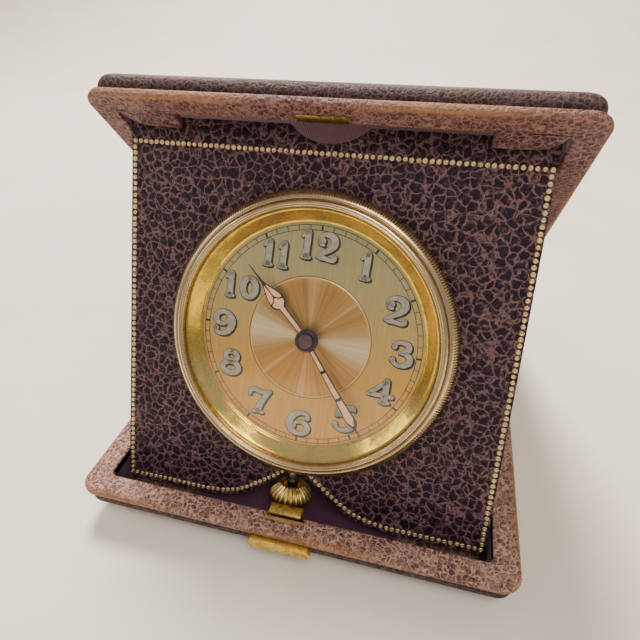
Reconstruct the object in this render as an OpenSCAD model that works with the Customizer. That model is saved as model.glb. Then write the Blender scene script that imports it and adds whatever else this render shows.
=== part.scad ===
// Folding leather travel clock: two leather-covered trays hinged at the back,
// and a clock panel that leans between them. Millimetres, +Z up, the base tray
// flat on z = 0, the clock facing -Y.

/* [Case] */
// Width of each tray, left to right
case_w = 81.8; // [76:0.2:90]
// Depth of each tray, front edge to hinge line
case_d = 85.2; // [84:0.2:90]
// Height of each tray, from its mating face to its outer face
tray_h = 8.6; // [8.2:0.1:12]
// Thickness of the overhanging lip around the mating face
lip_t = 1.6; // [1.2:0.1:2.2]
// How far the wall stands in from the lip
wall_inset = 1.6; // [1:0.1:2]
// Height of the upright part of each tray's wall, from the mating face
wall_up = 4.35; // [3.8:0.05:5.5]
// Slope of the bevel from the wall to the outer face, from the flat
bevel_angle = 38; // [30:1:50]
// Width of the rim at the front and at the hinge
rim_front = 4.4; // [4:0.1:4.8]
// Width of the rim at the sides
rim_side = 4.55; // [3.8:0.05:4.6]
// Corner radius of the lip
corner_r = 3.5; // [2.5:0.5:5]
// Thickness of the silk lining
lining_t = 0.2; // [0.1:0.05:0.3]

/* [Stand] */
// Lean of the clock panel back from upright, degrees
lean = 23; // [22:0.5:24]
// Angle of the cover above the base, degrees
cover_angle = 49.4; // [49:0.1:50]
// Depth of the corner tabs that the panel leans behind
tab_d = 8.15; // [7:0.05:8.2]
// Inner end of each corner tab, from the middle
tab_x = 25.7; // [20:0.1:28]

/* [Panel] */
// Width of the clock panel
panel_w = 71.4; // [69:0.1:71.6]
// Height of the clock panel above its bottom edge
panel_h = 70.8; // [69:0.1:71.5]
// Depth of the thumb notch in the panel's top edge
thumb_d = 2.75; // [1:0.05:3.5]
// Radius of the thumb notch
thumb_r = 9.8; // [6:0.1:14]
// Thickness of the panel board with its leather
panel_t = 2.5; // [2:0.1:2.6]
// Thickness of the panel leather
skin_t = 0.5; // [0.3:0.1:0.8]

/* [Clock] */
// Outer radius of the milled bezel
bezel_r = 25.95; // [25.6:0.05:26.5]
// Height of the dial centre above the panel's lowest bead line
clock_v = 33.94; // [33:0.1:35]
// How far the clock is turned in its panel, degrees clockwise
clock_twist = 2; // [0:0.5:4]
// Outer radius of the case body behind the panel
body_r = 22.9; // [22.8:0.05:23.1]
// Radius of the fluted crown
crown_r = 4.35; // [3.8:0.05:4.4]
// Length of the fluted crown
crown_l = 4.6; // [4:0.1:4.7]
// Hour shown
show_hour = 10; // [0:1:11]
// Minute shown
show_minute = 25; // [0:1:59]

/* [Latch] */
// Length of the push bar on the front edge
button_w = 11.6; // [9:0.2:14]
// Height of the push bar
button_h = 2.2; // [1.8:0.1:2.4]
// Travel of the push bar
button_travel = 0.9; // [0.6:0.05:0.9]

/* [Hidden] */
$fn = 96;

// Frame: the whole object is centred on x = 0, y = 0.
shift_y = -35.323;                   // from the panel's foot to the middle
front_y = -8.76 + shift_y;           // front edge of the base
hinge_y = front_y + case_d;          // hinge line of the cover
hinge_z = tray_h;
foot_z = hinge_z - 4.04;             // the panel's v = 0 line
hollow = tray_h - 2.4;               // depth of each hollow to its silk floor
hx = case_w/2 - rim_side;            // half width of each hollow
gap = 0.15;                          // play at the hinge line

// Panel hinge axis, in panel coordinates
fold_n = 1.2;
fold_v = 3.6;

// Clock layers, measured into the panel from its leather face
stem_n = 1.4;

// ---------- placing ----------
module in_cover() translate([0, hinge_y, hinge_z]) rotate([-cover_angle, 0, 0]) children();
module in_base() translate([0, hinge_y, hinge_z]) mirror([0, 0, 1]) children();
module in_panel() translate([0, shift_y, foot_z]) rotate([-lean, 0, 0]) children();
module in_clock() in_panel() translate([0, 0, clock_v]) rotate([90, 0, 0]) rotate([0, 0, -clock_twist]) children();
// a flat layer of the clock from depth n0 to depth n1
module layer(n0, n1) translate([0, 0, -n1]) linear_extrude(n1 - n0) children();

// ---------- shared shapes ----------
module rrect(x0, x1, y0, y1, r) {
  translate([x0 + r, y0]) square([x1 - x0 - 2*r, y1 - y0]);
  translate([x0, y0 + r]) square([x1 - x0, y1 - y0 - 2*r]);
  for (x = [x0 + r, x1 - r]) for (y = [y0 + r, y1 - r]) translate([x, y]) circle(r);
}
module slab(x0, x1, y0, y1, r, z0, z1) translate([0, 0, z0]) linear_extrude(z1 - z0) rrect(x0, x1, y0, y1, r);
module tray_slab(inset, z0, z1, r) slab(-case_w/2 + inset, case_w/2 - inset, -case_d + inset, -gap - inset, r, z0, z1);
module hollow_slab(grow, z0, z1) slab(-hx - grow, hx + grow, -case_d + rim_front - grow, -rim_front + grow, 1.2 + grow, z0, z1);
module bar(x0, x1, y0, y1, z0, z1) translate([x0, y0, z0]) cube([x1 - x0, y1 - y0, z1 - z0]);

// Each tray is drawn with its mating face at z = 0, its hinge at y = 0,
// its front edge at y = -case_d and its outer face at z = tray_h.
// outer bevel: the wall stands upright to wall_up, then slopes in to the flat outer face; t moves it inward
module bevelled(t) {
  e = wall_up - t;
  k = tan(bevel_angle);
  i1 = (tray_h + 0.4 - e)/k;
  intersection() {
    translate([0, 1, 0]) rotate([90, 0, 0]) linear_extrude(case_d + 2)
      polygon([[-case_w/2 - 1, -2], [case_w/2 + 1, -2], [case_w/2 + 1, e - k], [case_w/2 - i1, tray_h + 0.4], [-case_w/2 + i1, tray_h + 0.4], [-case_w/2 - 1, e - k]]);
    translate([-case_w/2 - 1, 0, 0]) rotate([90, 0, 90]) linear_extrude(case_w + 2)
      polygon([[-case_d - 1, -2], [1 - gap, -2], [1 - gap, e - k], [-gap - i1, tray_h + 0.4], [-case_d + i1, tray_h + 0.4], [-case_d - 1, e - k]]);
  }
}
module tray_board() intersection() { tray_slab(wall_inset, hollow + lining_t, tray_h - 0.6, 2); bevelled(1.1); }
module tray_frame() difference() {
  union() {
    tray_slab(0.45, 0.5, lip_t, corner_r - 0.45);
    intersection() { tray_slab(wall_inset, lip_t, hollow + lining_t, 2); bevelled(1.1); }
  }
  hollow_slab(lining_t, -1, tray_h);
}
module tray_rim_leather() difference() {
  tray_slab(0, 0, lip_t, corner_r);
  tray_slab(0.45, 0.5, lip_t + 1, corner_r - 0.45);
  hollow_slab(lining_t, -1, tray_h);
}
module tray_leather() difference() {
  intersection() { tray_slab(1, lip_t + 0.9, tray_h, 2.6); bevelled(0); }
  intersection() { tray_slab(wall_inset, lip_t, tray_h - 0.6, 2); bevelled(1.1); }
}
module tray_lining() difference() {
  hollow_slab(lining_t, 0.5, hollow + lining_t);
  hollow_slab(0, 0, hollow);
}

// teeth as a plain zigzag: tip radius rt, root radius rr
module toothed(n, rt, rr) polygon([for (i = [0:2*n - 1]) let (r = i % 2 == 0 ? rt : rr, a = i*180/n) [r*cos(a), r*sin(a)]]);
module bar2(p, q, w) { // straight flat arm between two points
  d = q - p;
  translate(p) rotate(atan2(d[1], d[0])) translate([0, -w/2]) square([norm(d), w]);
}
// one flat spiral ribbon from radius r0 to r1
module spiral2d(r0, r1, turns, steps, w) polygon(concat(
  [for (i = [0:turns*steps]) let (a = i*360/steps, r = r0 + (r1 - r0)*i/(turns*steps)) [r*cos(a), r*sin(a)]],
  [for (i = [turns*steps:-1:0]) let (a = i*360/steps, r = r0 + w + (r1 - r0)*i/(turns*steps)) [r*cos(a), r*sin(a)]]));
// wheel with spokes: n teeth, tip rt, root rr, rim inner radius ri, hub radius rh
module wheel2d(n, rt, rr, ri, rh, spokes, w) {
  difference() { toothed(n, rt, rr); circle(ri); }
  circle(rh);
  for (k = [0:spokes - 1]) rotate(k*360/spokes) translate([rh - 0.2, -w/2]) square([ri - rh + 0.4, w]);
}

// ================= base tray =================
module base_board() color("peru") in_base() tray_board();
module base_frame() color("sienna") in_base() difference() {
  tray_frame();
  catch_cut();
  for (x = [-3.6, 3.6]) translate([x, -case_d + 9, button_z]) rotate([90, 0, 0]) cylinder(r = 0.5, h = 12, $fn = 48);
}
module base_rim_leather() color([0.55, 0.42, 0.40]) in_base() difference() { tray_rim_leather(); catch_cut(); }
module base_leather() color([0.33, 0.24, 0.26]) in_base() difference() {
  tray_leather();
  bar(-button_w/2 - 0.2, button_w/2 + 0.2, -case_d + 0.8, -case_d + wall_inset, lip_t, button_z + button_h/2 + 0.2);
}
module base_lining() color([0.42, 0.28, 0.40]) in_base() difference() {
  tray_lining();
  bar(-4.6, 4.6, -case_d + rim_front - 1, -case_d + rim_front + 0.6, -1, 4.2);
}
module catch_cut() bar(-3.6, 3.6, -case_d + 2.9, -case_d + rim_front + 0.6, -1, 1.25);

// ================= cover tray =================
module cover_board() color("peru") in_cover() tray_board();
module cover_frame() color("sienna") in_cover() difference() { tray_frame(); strike_cut(); }
module cover_rim_leather() color([0.50, 0.39, 0.38]) in_cover() difference() { tray_rim_leather(); strike_cut(); }
module cover_leather() color([0.33, 0.24, 0.26]) in_cover() tray_leather();
module cover_lining() color([0.42, 0.28, 0.40]) in_cover() difference() {
  tray_lining();
  bar(-4.3, 4.3, -case_d + rim_front - 1, -case_d + rim_front + 0.6, -1, 1.6);
}
module strike_cut() bar(-4.1, 4.1, -case_d + 2.6, -case_d + rim_front + 0.6, -1, 1.55);
// bevelled corner tabs: the panel's top edge sits behind them
module cover_tabs() color([0.45, 0.34, 0.34]) in_cover() for (s = [-1, 1]) intersection() {
  translate([s > 0 ? tab_x : -hx, -case_d, 0]) rotate([90, 0, 90])
    linear_extrude(hx - tab_x) polygon([[rim_front, 0], [tab_d, 0], [tab_d - 0.9, lip_t], [rim_front, lip_t]]);
  hollow_slab(0, -1, 3);
}
module strike_plate() color("goldenrod") in_cover() bar(-4.1, 4.1, -case_d + 2.6, -case_d + 4.3, 0.02, 0.42);

// ================= soft hinges =================
// spine leather: from the base's back wall, round the hinge line, up the cover's back wall
spine_t = 0.4;
module spine_leather() color([0.36, 0.26, 0.28]) translate([0, hinge_y, hinge_z]) rotate([90, 0, 90])
  translate([0, 0, -hx]) linear_extrude(2*hx)
    polygon([[0.02, -4.6], [0.02, -1.0],
             [0.25, -0.35], [0.55, 0.05],
             [0.02*cos(cover_angle) + 1.4*sin(cover_angle), -0.02*sin(cover_angle) + 1.4*cos(cover_angle)],
             [0.02*cos(cover_angle) + 4.6*sin(cover_angle), -0.02*sin(cover_angle) + 4.6*cos(cover_angle)],
             [(0.02 + spine_t)*cos(cover_angle) + 4.6*sin(cover_angle), -(0.02 + spine_t)*sin(cover_angle) + 4.6*cos(cover_angle)],
             [(0.02 + spine_t)*cos(cover_angle) + 1.3*sin(cover_angle), -(0.02 + spine_t)*sin(cover_angle) + 1.3*cos(cover_angle)],
             [0.85, -0.35], [0.6, -0.8], [0.02 + spine_t, -1.3], [0.02 + spine_t, -4.6]]);
// leather strip that hinges the panel's foot to the tray floor, one length each side of the notch
function pr(n, v) = [n*cos(lean) + v*sin(lean), -n*sin(lean) + v*cos(lean)];
module panel_hinge_strip() color([0.30, 0.20, 0.24]) translate([0, shift_y, foot_z]) rotate([90, 0, 90])
  for (s = [-1, 1]) translate([0, 0, s > 0 ? 19.6 : -35.4]) linear_extrude(35.4 - 19.6)
    polygon([[-4.0, -2.14], [-4.0, -2.0], [1.5, -2.0], pr(panel_t + 0.03, -0.96), pr(panel_t + 0.03, 6),
             pr(panel_t + 0.2, 6), pr(panel_t + 0.2, -0.98), [2.4, -2.14]]);

// ================= latch =================
button_z = 2.8;                       // below the mating face
module latch_button() color("gold") in_base() {
  translate([0, -case_d - 0.8, button_z]) rotate([-90, 0, 0]) linear_extrude(1.45)
    rrect(-button_w/2, button_w/2, -button_h/2, button_h/2, button_h/2 - 0.05);
  for (x = [-3.6, 3.6]) translate([x, -case_d + 5.11, button_z]) rotate([90, 0, 0]) cylinder(r = 0.42, h = 4.6, $fn = 48);
}
module latch_catch() color("goldenrod") in_base() {
  bar(-4.3, 4.3, -case_d + 5.11, -case_d + 5.61, 2.0, 3.3);
  bar(-3.0, 3.0, -case_d + 5.11, -case_d + 5.61, -1.1, 2.0);
  bar(-3.0, 3.0, -case_d + 3.56, -case_d + 5.11, -1.1, -0.5);
}
// bowed leaf between the push bar and the front wall
module latch_spring() color("silver") in_base() translate([0, 0, button_z - 0.5]) linear_extrude(1)
  polygon([[-2.9, -case_d + 1.58], [-2.9, -case_d + 1.46], [-0.6, -case_d + 0.68], [0.6, -case_d + 0.68], [2.9, -case_d + 1.46], [2.9, -case_d + 1.58],
           [0.55, -case_d + 0.80], [-0.55, -case_d + 0.80]]);

// ================= panel =================
notch_half = [[2.4, 6.3], [4.4, 5.1], [6.3, 3.75], [8.0, 2.4], [9.5, 1.25], [11.2, 0.3], [13.4, -0.35], [16.2, -0.75], [19.4, -1.05]];
module panel_face(inset) difference() {
  rrect(-panel_w/2 + inset, panel_w/2 - inset, -1 + inset, -1 + panel_h - inset, 0.8);
  translate([0, clock_v]) circle(body_r + 0.15);
  translate([0.3, -1 + panel_h - thumb_d + thumb_r]) circle(thumb_r);
  notch2d();
}
module notch2d() {
  polygon(concat([for (i = [0:8]) [-notch_half[8 - i][0], notch_half[8 - i][1]]], notch_half, [[19.4, -2], [-19.4, -2]]));
  translate([-2.7, 5]) square([3.4, 7]);
}
module flat_panel(n0, n1) translate([0, n1, 0]) rotate([90, 0, 0]) linear_extrude(n1 - n0) children();
module panel_board() color("peru") in_panel() flat_panel(skin_t, panel_t) panel_face(0.4);
module panel_leather() color([0.24, 0.15, 0.20]) in_panel() difference() {
  flat_panel(0, panel_t) panel_face(0);
  flat_panel(skin_t, panel_t + 1) rrect(-panel_w/2 + 0.4, panel_w/2 - 0.4, -0.6, -1.4 + panel_h, 0.8);
}

// ================= clock head =================
module clock_case() color("tan") in_clock() difference() {
  rotate_extrude() polygon([[22.3, -5.5], [body_r, -5.5], [body_r, 0], [25.0, 0], [25.0, 0.8], [22.3, 0.8]]);
  translate([0, -20, -stem_n]) rotate([90, 0, 0]) cylinder(r = 1.2, h = 6, $fn = 48);
}
module bezel() color("darkgoldenrod") in_clock() rotate_extrude()
  polygon([[25.1, 0.1], [bezel_r, 0.1], [bezel_r, 2.0], [25.5, 2.35], [24.6, 2.9], [24.2, 3.0], [23.95, 3.45],
           [23.5, 3.6], [23.05, 3.45], [22.85, 3.1], [22.85, 0.95], [23.5, 0.95], [23.9, 1.9], [25.1, 1.3]]);
glass_rise = 1.5;
function glass_z(r) = 3.0 + glass_rise*(1 - pow(r/22.8, 2));
module crystal() color([0.8, 0.9, 1, 0.3]) in_clock() rotate_extrude()
  polygon(concat([for (i = [0:8]) let (r = i*22.8/8) [r, glass_z(r)]], [for (i = [8:-1:0]) let (r = i*22.8/8) [r, glass_z(r) - 0.55]]));
module rehaut() color("gold") in_clock() rotate_extrude()
  polygon([[20.4, 0.12], [22.2, 0.12], [22.2, 0.9], [22.8, 0.9], [22.8, 2.4], [22.5, 2.4], [20.4, 0.35]]);
module dial() color([0.80, 0.66, 0.35]) in_clock() layer(-0.1, 0.15) difference() { circle(21.9); circle(1.15); }
module case_back() color("tan") in_clock() {
  layer(5.5, 5.9) circle(body_r);
  layer(5.0, 5.5) difference() { circle(22.25); circle(21.7); }
}
module clamp_ring() color("goldenrod") in_clock() layer(panel_t + 0.02, panel_t + 0.7) difference() {
  circle(27.5);
  circle(body_r + 0.02);
  translate([-2.2, -30]) square([4.4, 12]);
  for (a = [30, 150, 270 - 40]) rotate(a) translate([25.2, 0]) circle(0.6, $fn = 48);
}
module clamp_screws() color("silver") in_clock() for (a = [30, 150, 270 - 40]) rotate(a) translate([25.2, 0, 0]) {
  layer(panel_t + 0.7, panel_t + 1.2) difference() { circle(1.1, $fn = 48); translate([-1.3, -0.15]) square([2.6, 0.3]); }
  layer(panel_t + 0.02, panel_t + 0.7) circle(0.58, $fn = 48);
}
module stem_tube() color("silver") in_clock() translate([0, -22.35, -stem_n]) rotate([90, 0, 0]) difference() {
  cylinder(r = 1.19, h = 6.7, $fn = 48);
  translate([0, 0, -1]) cylinder(r = 0.62, h = 9, $fn = 48);
}

// ================= movement =================
P_barrel = [-7.58, -6.36];
P_third = [4.77, 4.77];
P_fourth = [7.53, -0.01];
P_escape = [6.69, -4.78];
P_pallet = [7.62, -7.93];
P_balance = [9.0, -12.6];
P_crownw = [0, -12.3];
P_minute = [0.667, -3.782];
P_setting = [0, -9.34];
P_lever = [4.4, -19.3];
P_click = [-14.2, -9.68];

module pivot_hole(p, r) translate([p[0], p[1], -9]) cylinder(r = r, h = 12, $fn = 48);
module pivots() for (p = [P_third, P_fourth, P_escape, P_pallet, P_minute]) pivot_hole(p, 0.22);
screw_at = [[-19.2, 1.5], [-3.2, -20.2], [-9.5, 17.2], [17.6, 9.2], [10.2, 16.9], [19.2, -5.4], [17.9, -9.6]];
module main_plate() color("goldenrod") in_clock() difference() {
  layer(0.75, 2.3) circle(22.2);
  pivots();
  pivot_hole([0, 0], 0.75);
  pivot_hole(P_barrel, 1.02);
  pivot_hole(P_balance, 0.22);
  pivot_hole(P_lever, 0.27);
  bar(-1.45, 1.45, -18.5, -12.0, -3, 0);
  translate([0, -9.4, -stem_n]) rotate([90, 0, 0]) cylinder(r = 0.47, h = 4, $fn = 48);
  translate([0, -18, -stem_n]) rotate([90, 0, 0]) cylinder(r = 0.52, h = 6, $fn = 48);
  bar(0.2, 1.3, -20.6, -18.9, -1.45, 0);
  for (p = screw_at) pivot_hole(p, 0.5);
}
module bridge_plate() difference() { children(); pivots(); for (p = screw_at) pivot_hole(p, 0.5); }
module sector(a0, a1, r) intersection() {
  circle(r);
  polygon(concat([[0, 0]], [for (i = [0:6]) let (a = a0 + (a1 - a0)*i/6) [1.6*r*cos(a), 1.6*r*sin(a)]]));
}
module barrel_bridge() color("goldenrod") in_clock() difference() {
  union() {
    layer(4.8, 5.35) sector(103, 262, 21.4);
    layer(4.8, 5.35) circle(2.2);
    layer(2.3, 4.8) difference() { sector(103, 250, 21.4); circle(19.6); translate(P_barrel) circle(9.4); }
  }
  pivot_hole([0, 0], 0.42);
  pivot_hole(P_barrel, 1.02);
  for (p = screw_at) pivot_hole(p, 0.5);
}
module train_bridge() color("goldenrod") in_clock() bridge_plate() {
  union() {
    layer(4.8, 5.35) difference() { sector(-20, 97, 21.4); circle(2.6); }
    layer(4.8, 5.35) bar2([12, -4.5], [P_escape[0] - 0.6, P_escape[1] - 0.4], 2.2);
    layer(4.8, 5.35) bar2([15.5, -5.6], [P_pallet[0] - 0.7, P_pallet[1]], 1.5);
    layer(2.3, 4.8) difference() { sector(-20, 95, 21.4); circle(15.6); }
  }
}
module balance_cock() color("goldenrod") in_clock() difference() {
  union() {
    layer(4.8, 5.2) bar2([18.3, -9.9], P_balance, 3.0);
    layer(4.8, 5.2) translate(P_balance) circle(1.9);
    layer(2.3, 4.8) intersection() { circle(21.4); difference() { translate([15.4, -12.0]) square([6, 4.4]); translate(P_balance) circle(5.9); } }
  }
  pivot_hole(P_balance, 0.22);
  for (p = screw_at) pivot_hole(p, 0.5);
}
module bridge_screws() color("silver") in_clock() for (i = [0:6]) translate([screw_at[i][0], screw_at[i][1], 0]) {
  layer(1.0, i == 6 ? 5.2 : (i == 1 ? 2.3 : 5.35)) circle(0.48, $fn = 48);
  layer(i == 6 ? 5.2 : (i == 1 ? 2.3 : 5.35), i == 6 ? 5.45 : (i == 1 ? 2.7 : 5.47)) circle(0.9, $fn = 48);
}

// barrel with 80 teeth, mainspring, arbor with ratchet wheel
module barrel() color("gold") in_clock() translate([P_barrel[0], P_barrel[1], 0]) {
  layer(3.2, 3.4) difference() { toothed(80, 8.83, 8.5); circle(0.95, $fn = 48); }
  layer(3.4, 4.5) difference() { circle(8.1); circle(7.8); }
  layer(4.5, 4.65) difference() { circle(8.1); circle(0.95, $fn = 48); }
}
module mainspring() color("steelblue") in_clock() translate([P_barrel[0], P_barrel[1], 0])
  layer(3.5, 4.4) spiral2d(3.1, 7.45, 7, 16, 0.2);
module barrel_arbor() color("silver") in_clock() translate([P_barrel[0], P_barrel[1], 0]) {
  layer(2.32, 5.3) circle(0.9, $fn = 48);
  layer(3.45, 4.45) difference() { circle(2.6); circle(0.9, $fn = 48); }
}
module ratchet_wheel() color("silver") in_clock() translate([P_barrel[0], P_barrel[1], 0])
  layer(2.42, 2.72) difference() { toothed(40, 5.42, 5.05); circle(0.9, $fn = 48); }
module click() color("silver") in_clock() translate([P_click[0], P_click[1], 0]) {
  layer(2.42, 2.7) difference() { union() { circle(0.8, $fn = 48); bar2([0, 0], [1.05, 1.75], 0.7); } circle(0.3, $fn = 48); }
}
module click_spring() color("silver") in_clock() layer(2.42, 2.6) {
  bar2([-15.6, -6.0], [-14.3, -7.2], 0.2);
  bar2([-15.6, -6.0], [-16.6, -5.3], 0.6);
}
module crown_wheel() color("silver") in_clock() translate([P_crownw[0], P_crownw[1], 0])
  layer(2.5, 2.78) difference() { toothed(28, 4.2, 3.8); circle(0.8, $fn = 48); }

module centre_wheel() color("gold") in_clock() {
  layer(2.85, 3.03) wheel2d(80, 6.03, 5.75, 5.1, 1.3, 5, 0.6);
  layer(3.03, 4.5) toothed(10, 1.06, 0.75);
  layer(-2.35, 2.85) circle(0.38, $fn = 48);
  layer(4.5, 5.3) circle(0.38, $fn = 48);
}
module third_wheel() color("gold") in_clock() translate([P_third[0], P_third[1], 0]) {
  layer(3.5, 3.66) wheel2d(75, 4.9, 4.65, 4.1, 1.0, 4, 0.5);
  layer(2.75, 3.5) toothed(10, 0.74, 0.5);
  layer(1.2, 2.75) circle(0.2, $fn = 48);
  layer(3.66, 5.3) circle(0.2, $fn = 48);
}
module fourth_wheel() color("gold") in_clock() translate([P_fourth[0], P_fourth[1], 0]) {
  layer(3.95, 4.1) wheel2d(80, 4.42, 4.2, 3.7, 0.9, 4, 0.45);
  layer(3.35, 3.95) toothed(10, 0.64, 0.42);
  layer(1.2, 3.35) circle(0.2, $fn = 48);
  layer(4.1, 5.3) circle(0.2, $fn = 48);
}
module escape_wheel() color("silver") in_clock() translate([P_escape[0], P_escape[1], 0]) {
  layer(3.4, 3.58) {
    difference() {
      polygon([for (i = [0:29]) let (a = i*12, r = i % 2 == 0 ? 2.6 : 1.9) [r*cos(a + (i % 2 == 0 ? 5 : 0)), r*sin(a + (i % 2 == 0 ? 5 : 0))]]);
      circle(1.6);
    }
    circle(0.6);
    for (k = [0:3]) rotate(k*90) translate([0.5, -0.2]) square([1.3, 0.4]);
  }
  layer(3.58, 4.3) toothed(8, 0.43, 0.3);
  layer(1.2, 3.4) circle(0.2, $fn = 48);
  layer(4.3, 5.3) circle(0.2, $fn = 48);
}
dir_b = atan2(P_balance[1] - P_pallet[1], P_balance[0] - P_pallet[0]);
module pallet_fork() color("silver") in_clock() translate([P_pallet[0], P_pallet[1], 0]) {
  layer(3.4, 3.58) rotate(dir_b) {
    circle(0.45, $fn = 48);
    translate([0, -0.2]) square([3.0, 0.4]);
    translate([3.0, -0.6]) square([0.3, 1.2]);
    translate([3.3, 0.3]) square([0.8, 0.3]);
    translate([3.3, -0.6]) square([0.8, 0.3]);
    translate([-0.2, -2.0]) square([0.4, 4.0]);
    for (s = [-1, 1]) translate([-0.75, s*1.95 - 0.15]) square([0.75, 0.3]);
  }
  layer(1.2, 3.4) circle(0.2, $fn = 48);
  layer(3.58, 5.3) circle(0.2, $fn = 48);
}
module balance_wheel() color("gold") in_clock() translate([P_balance[0], P_balance[1], 0]) {
  layer(3.85, 4.2) {
    difference() { circle(4.45); circle(3.85); }
    circle(0.8);
    bar2([-4.0, 0], [4.0, 0], 0.5);
  }
  layer(3.62, 3.85) circle(0.7);
  rotate(180 + dir_b) translate([0.72, 0, 0]) layer(3.42, 3.85) circle(0.16, $fn = 48);
  layer(1.2, 3.62) circle(0.2, $fn = 48);
  layer(4.2, 5.2) circle(0.2, $fn = 48);
}
module hairspring() color("steelblue") in_clock() translate([P_balance[0], P_balance[1], 0])
  layer(4.35, 4.55) spiral2d(0.95, 2.9, 6, 16, 0.1);
module regulator() color("silver") in_clock() translate([P_balance[0], P_balance[1], 0]) layer(5.22, 5.42) difference() {
  union() { circle(1.2); rotate(120) translate([0, -0.25]) square([3.6, 0.5]); rotate(-60) translate([0, -0.2]) square([2.4, 0.4]); }
  circle(0.35, $fn = 48);
}

// motion work behind the dial
module cannon_pinion() color("silver") in_clock() difference() {
  union() {
    layer(0.48, 0.66) toothed(12, 0.99, 0.72);
    layer(-2.3, 0.48) circle(0.6, $fn = 48);
  }
  translate([0, 0, -3]) cylinder(r = 0.4, h = 9, $fn = 48);
}
module minute_wheel() color("gold") in_clock() translate([P_minute[0], P_minute[1], 0]) {
  layer(0.48, 0.64) toothed(36, 2.91, 2.65);
  layer(0.26, 0.48) toothed(10, 0.79, 0.55);
  layer(0.64, 1.2) circle(0.2, $fn = 48);
}
module hour_wheel() color("gold") in_clock() difference() {
  union() {
    layer(0.26, 0.42) toothed(40, 3.09, 2.85);
    layer(-1.55, 0.26) circle(0.95, $fn = 48);
  }
  translate([0, 0, -3]) cylinder(r = 0.64, h = 9, $fn = 48);
}
module setting_wheel() color("gold") in_clock() translate([P_setting[0], P_setting[1], 0])
  layer(0.48, 0.64) difference() { toothed(34, 2.74, 2.5); circle(0.3, $fn = 48); }

// hands: drawn pointing up, then turned to the time shown
hour_a = 30*show_hour + show_minute/2;
minute_a = 6*show_minute;
module hour_hand() color([0.65, 0.45, 0.35]) in_clock() rotate(-hour_a) {
  layer(-1.5, -1.2) difference() { circle(2.1); circle(0.95, $fn = 48); }
  layer(-1.5, -1.2) polygon([[-0.53, 1.4], [-0.58, 7.0], [-1.25, 7.7], [-1.46, 8.5], [-1.32, 9.5], [-0.6, 11.7], [-0.25, 12.7], [-0.09, 16.9], [0.09, 16.9], [0.25, 12.7],
           [0.6, 11.7], [1.32, 9.5], [1.46, 8.5], [1.25, 7.7], [0.58, 7.0], [0.53, 1.4]]);
}
module minute_hand() color([0.65, 0.45, 0.35]) in_clock() rotate(-minute_a) {
  layer(-2.3, -2.0) {
    difference() { circle(2.1); circle(0.6, $fn = 48); }
    polygon([[-0.45, 1.4], [-0.5, 5.0], [-0.8, 14.0], [-0.93, 15.7], [-0.55, 17.1], [-0.2, 18.1], [-0.07, 19.9], [0.07, 19.9], [0.2, 18.1], [0.55, 17.1], [0.93, 15.7], [0.8, 14.0], [0.5, 5.0], [0.45, 1.4]]);
  }
  layer(-2.9, -2.42) circle(1.15);
  layer(-2.42, -2.3) difference() { circle(1.6); circle(0.6, $fn = 48); }
}

// keyless work
module stem() color("silver") in_clock() {
  translate([0, -9.6, -stem_n]) rotate([90, 0, 0]) cylinder(r = 0.42, h = 1.5, $fn = 48);
  translate([-0.3, -19.0, -stem_n - 0.3]) cube([0.6, 8.0, 0.6]);
  translate([0, -18.55, -stem_n]) rotate([90, 0, 0]) cylinder(r = 0.49, h = 0.5, $fn = 48);
  translate([0, -19.05, -stem_n]) rotate([90, 0, 0]) cylinder(r = 0.28, h = 0.55, $fn = 48);
  translate([0, -19.6, -stem_n]) rotate([90, 0, 0]) cylinder(r = 0.49, h = 12.4, $fn = 48);
}
crown_prof = [[0.2, 1.9], [0.45, 3.3], [0.85, 4.0], [1.5, crown_r - 0.04], [2.2, crown_r], [2.9, crown_r - 0.12], [3.6, 3.75], [4.15, 2.7], [crown_l - 0.08, 1.6]];
module crown() color("goldenrod") in_clock() translate([0, -29.35, -stem_n]) rotate([90, 0, 0]) difference() {
  rotate_extrude() polygon(concat([[0, 0], [1.7, 0]], [for (p = crown_prof) [p[1], p[0]]], [[0, crown_l]]));
  translate([0, 0, -1]) cylinder(r = 0.49, h = 1 + 2.65, $fn = 48);
}
module winding_pinion() color("silver") in_clock() translate([0, -16.56, -stem_n]) rotate([90, 0, 0]) difference() {
  linear_extrude(1.7) toothed(14, 1.12, 0.95);
  translate([0, 0, -1]) cylinder(r = 0.52, h = 5, $fn = 48);
}
module clutch() color("silver") in_clock() translate([0, -13.0, -stem_n]) rotate([90, 0, 0]) difference() {
  linear_extrude(3.45) toothed(14, 1.0, 0.85);
  translate([-0.32, -0.32, -1]) cube([0.64, 0.64, 6]);
}
module setting_lever() color("silver") in_clock() {
  layer(0.36, 0.62) {
    translate(P_lever) circle(0.7, $fn = 48);
    bar2([0.75, -19.32], P_lever, 0.6);
    translate([0.75, -19.32]) circle(0.42, $fn = 48);
  }
  translate([P_lever[0], P_lever[1], -1.3]) cylinder(r = 0.25, h = 0.94, $fn = 48);
  translate([0.53, -19.32, -1.4]) cylinder(r = 0.2, h = 0.9, $fn = 48);
}

base_board();
base_frame();
base_rim_leather();
base_leather();
base_lining();
cover_board();
cover_frame();
cover_rim_leather();
cover_leather();
cover_lining();
cover_tabs();
strike_plate();
spine_leather();
panel_hinge_strip();
latch_button();
latch_catch();
latch_spring();
panel_board();
panel_leather();
clock_case();
bezel();
crystal();
rehaut();
dial();
case_back();
clamp_ring();
clamp_screws();
stem_tube();
main_plate();
barrel_bridge();
train_bridge();
balance_cock();
bridge_screws();
barrel();
mainspring();
barrel_arbor();
ratchet_wheel();
click();
click_spring();
crown_wheel();
centre_wheel();
third_wheel();
fourth_wheel();
escape_wheel();
pallet_fork();
balance_wheel();
hairspring();
regulator();
cannon_pinion();
minute_wheel();
hour_wheel();
setting_wheel();
hour_hand();
minute_hand();
stem();
crown();
winding_pinion();
clutch();
setting_lever();
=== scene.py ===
import math

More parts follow.
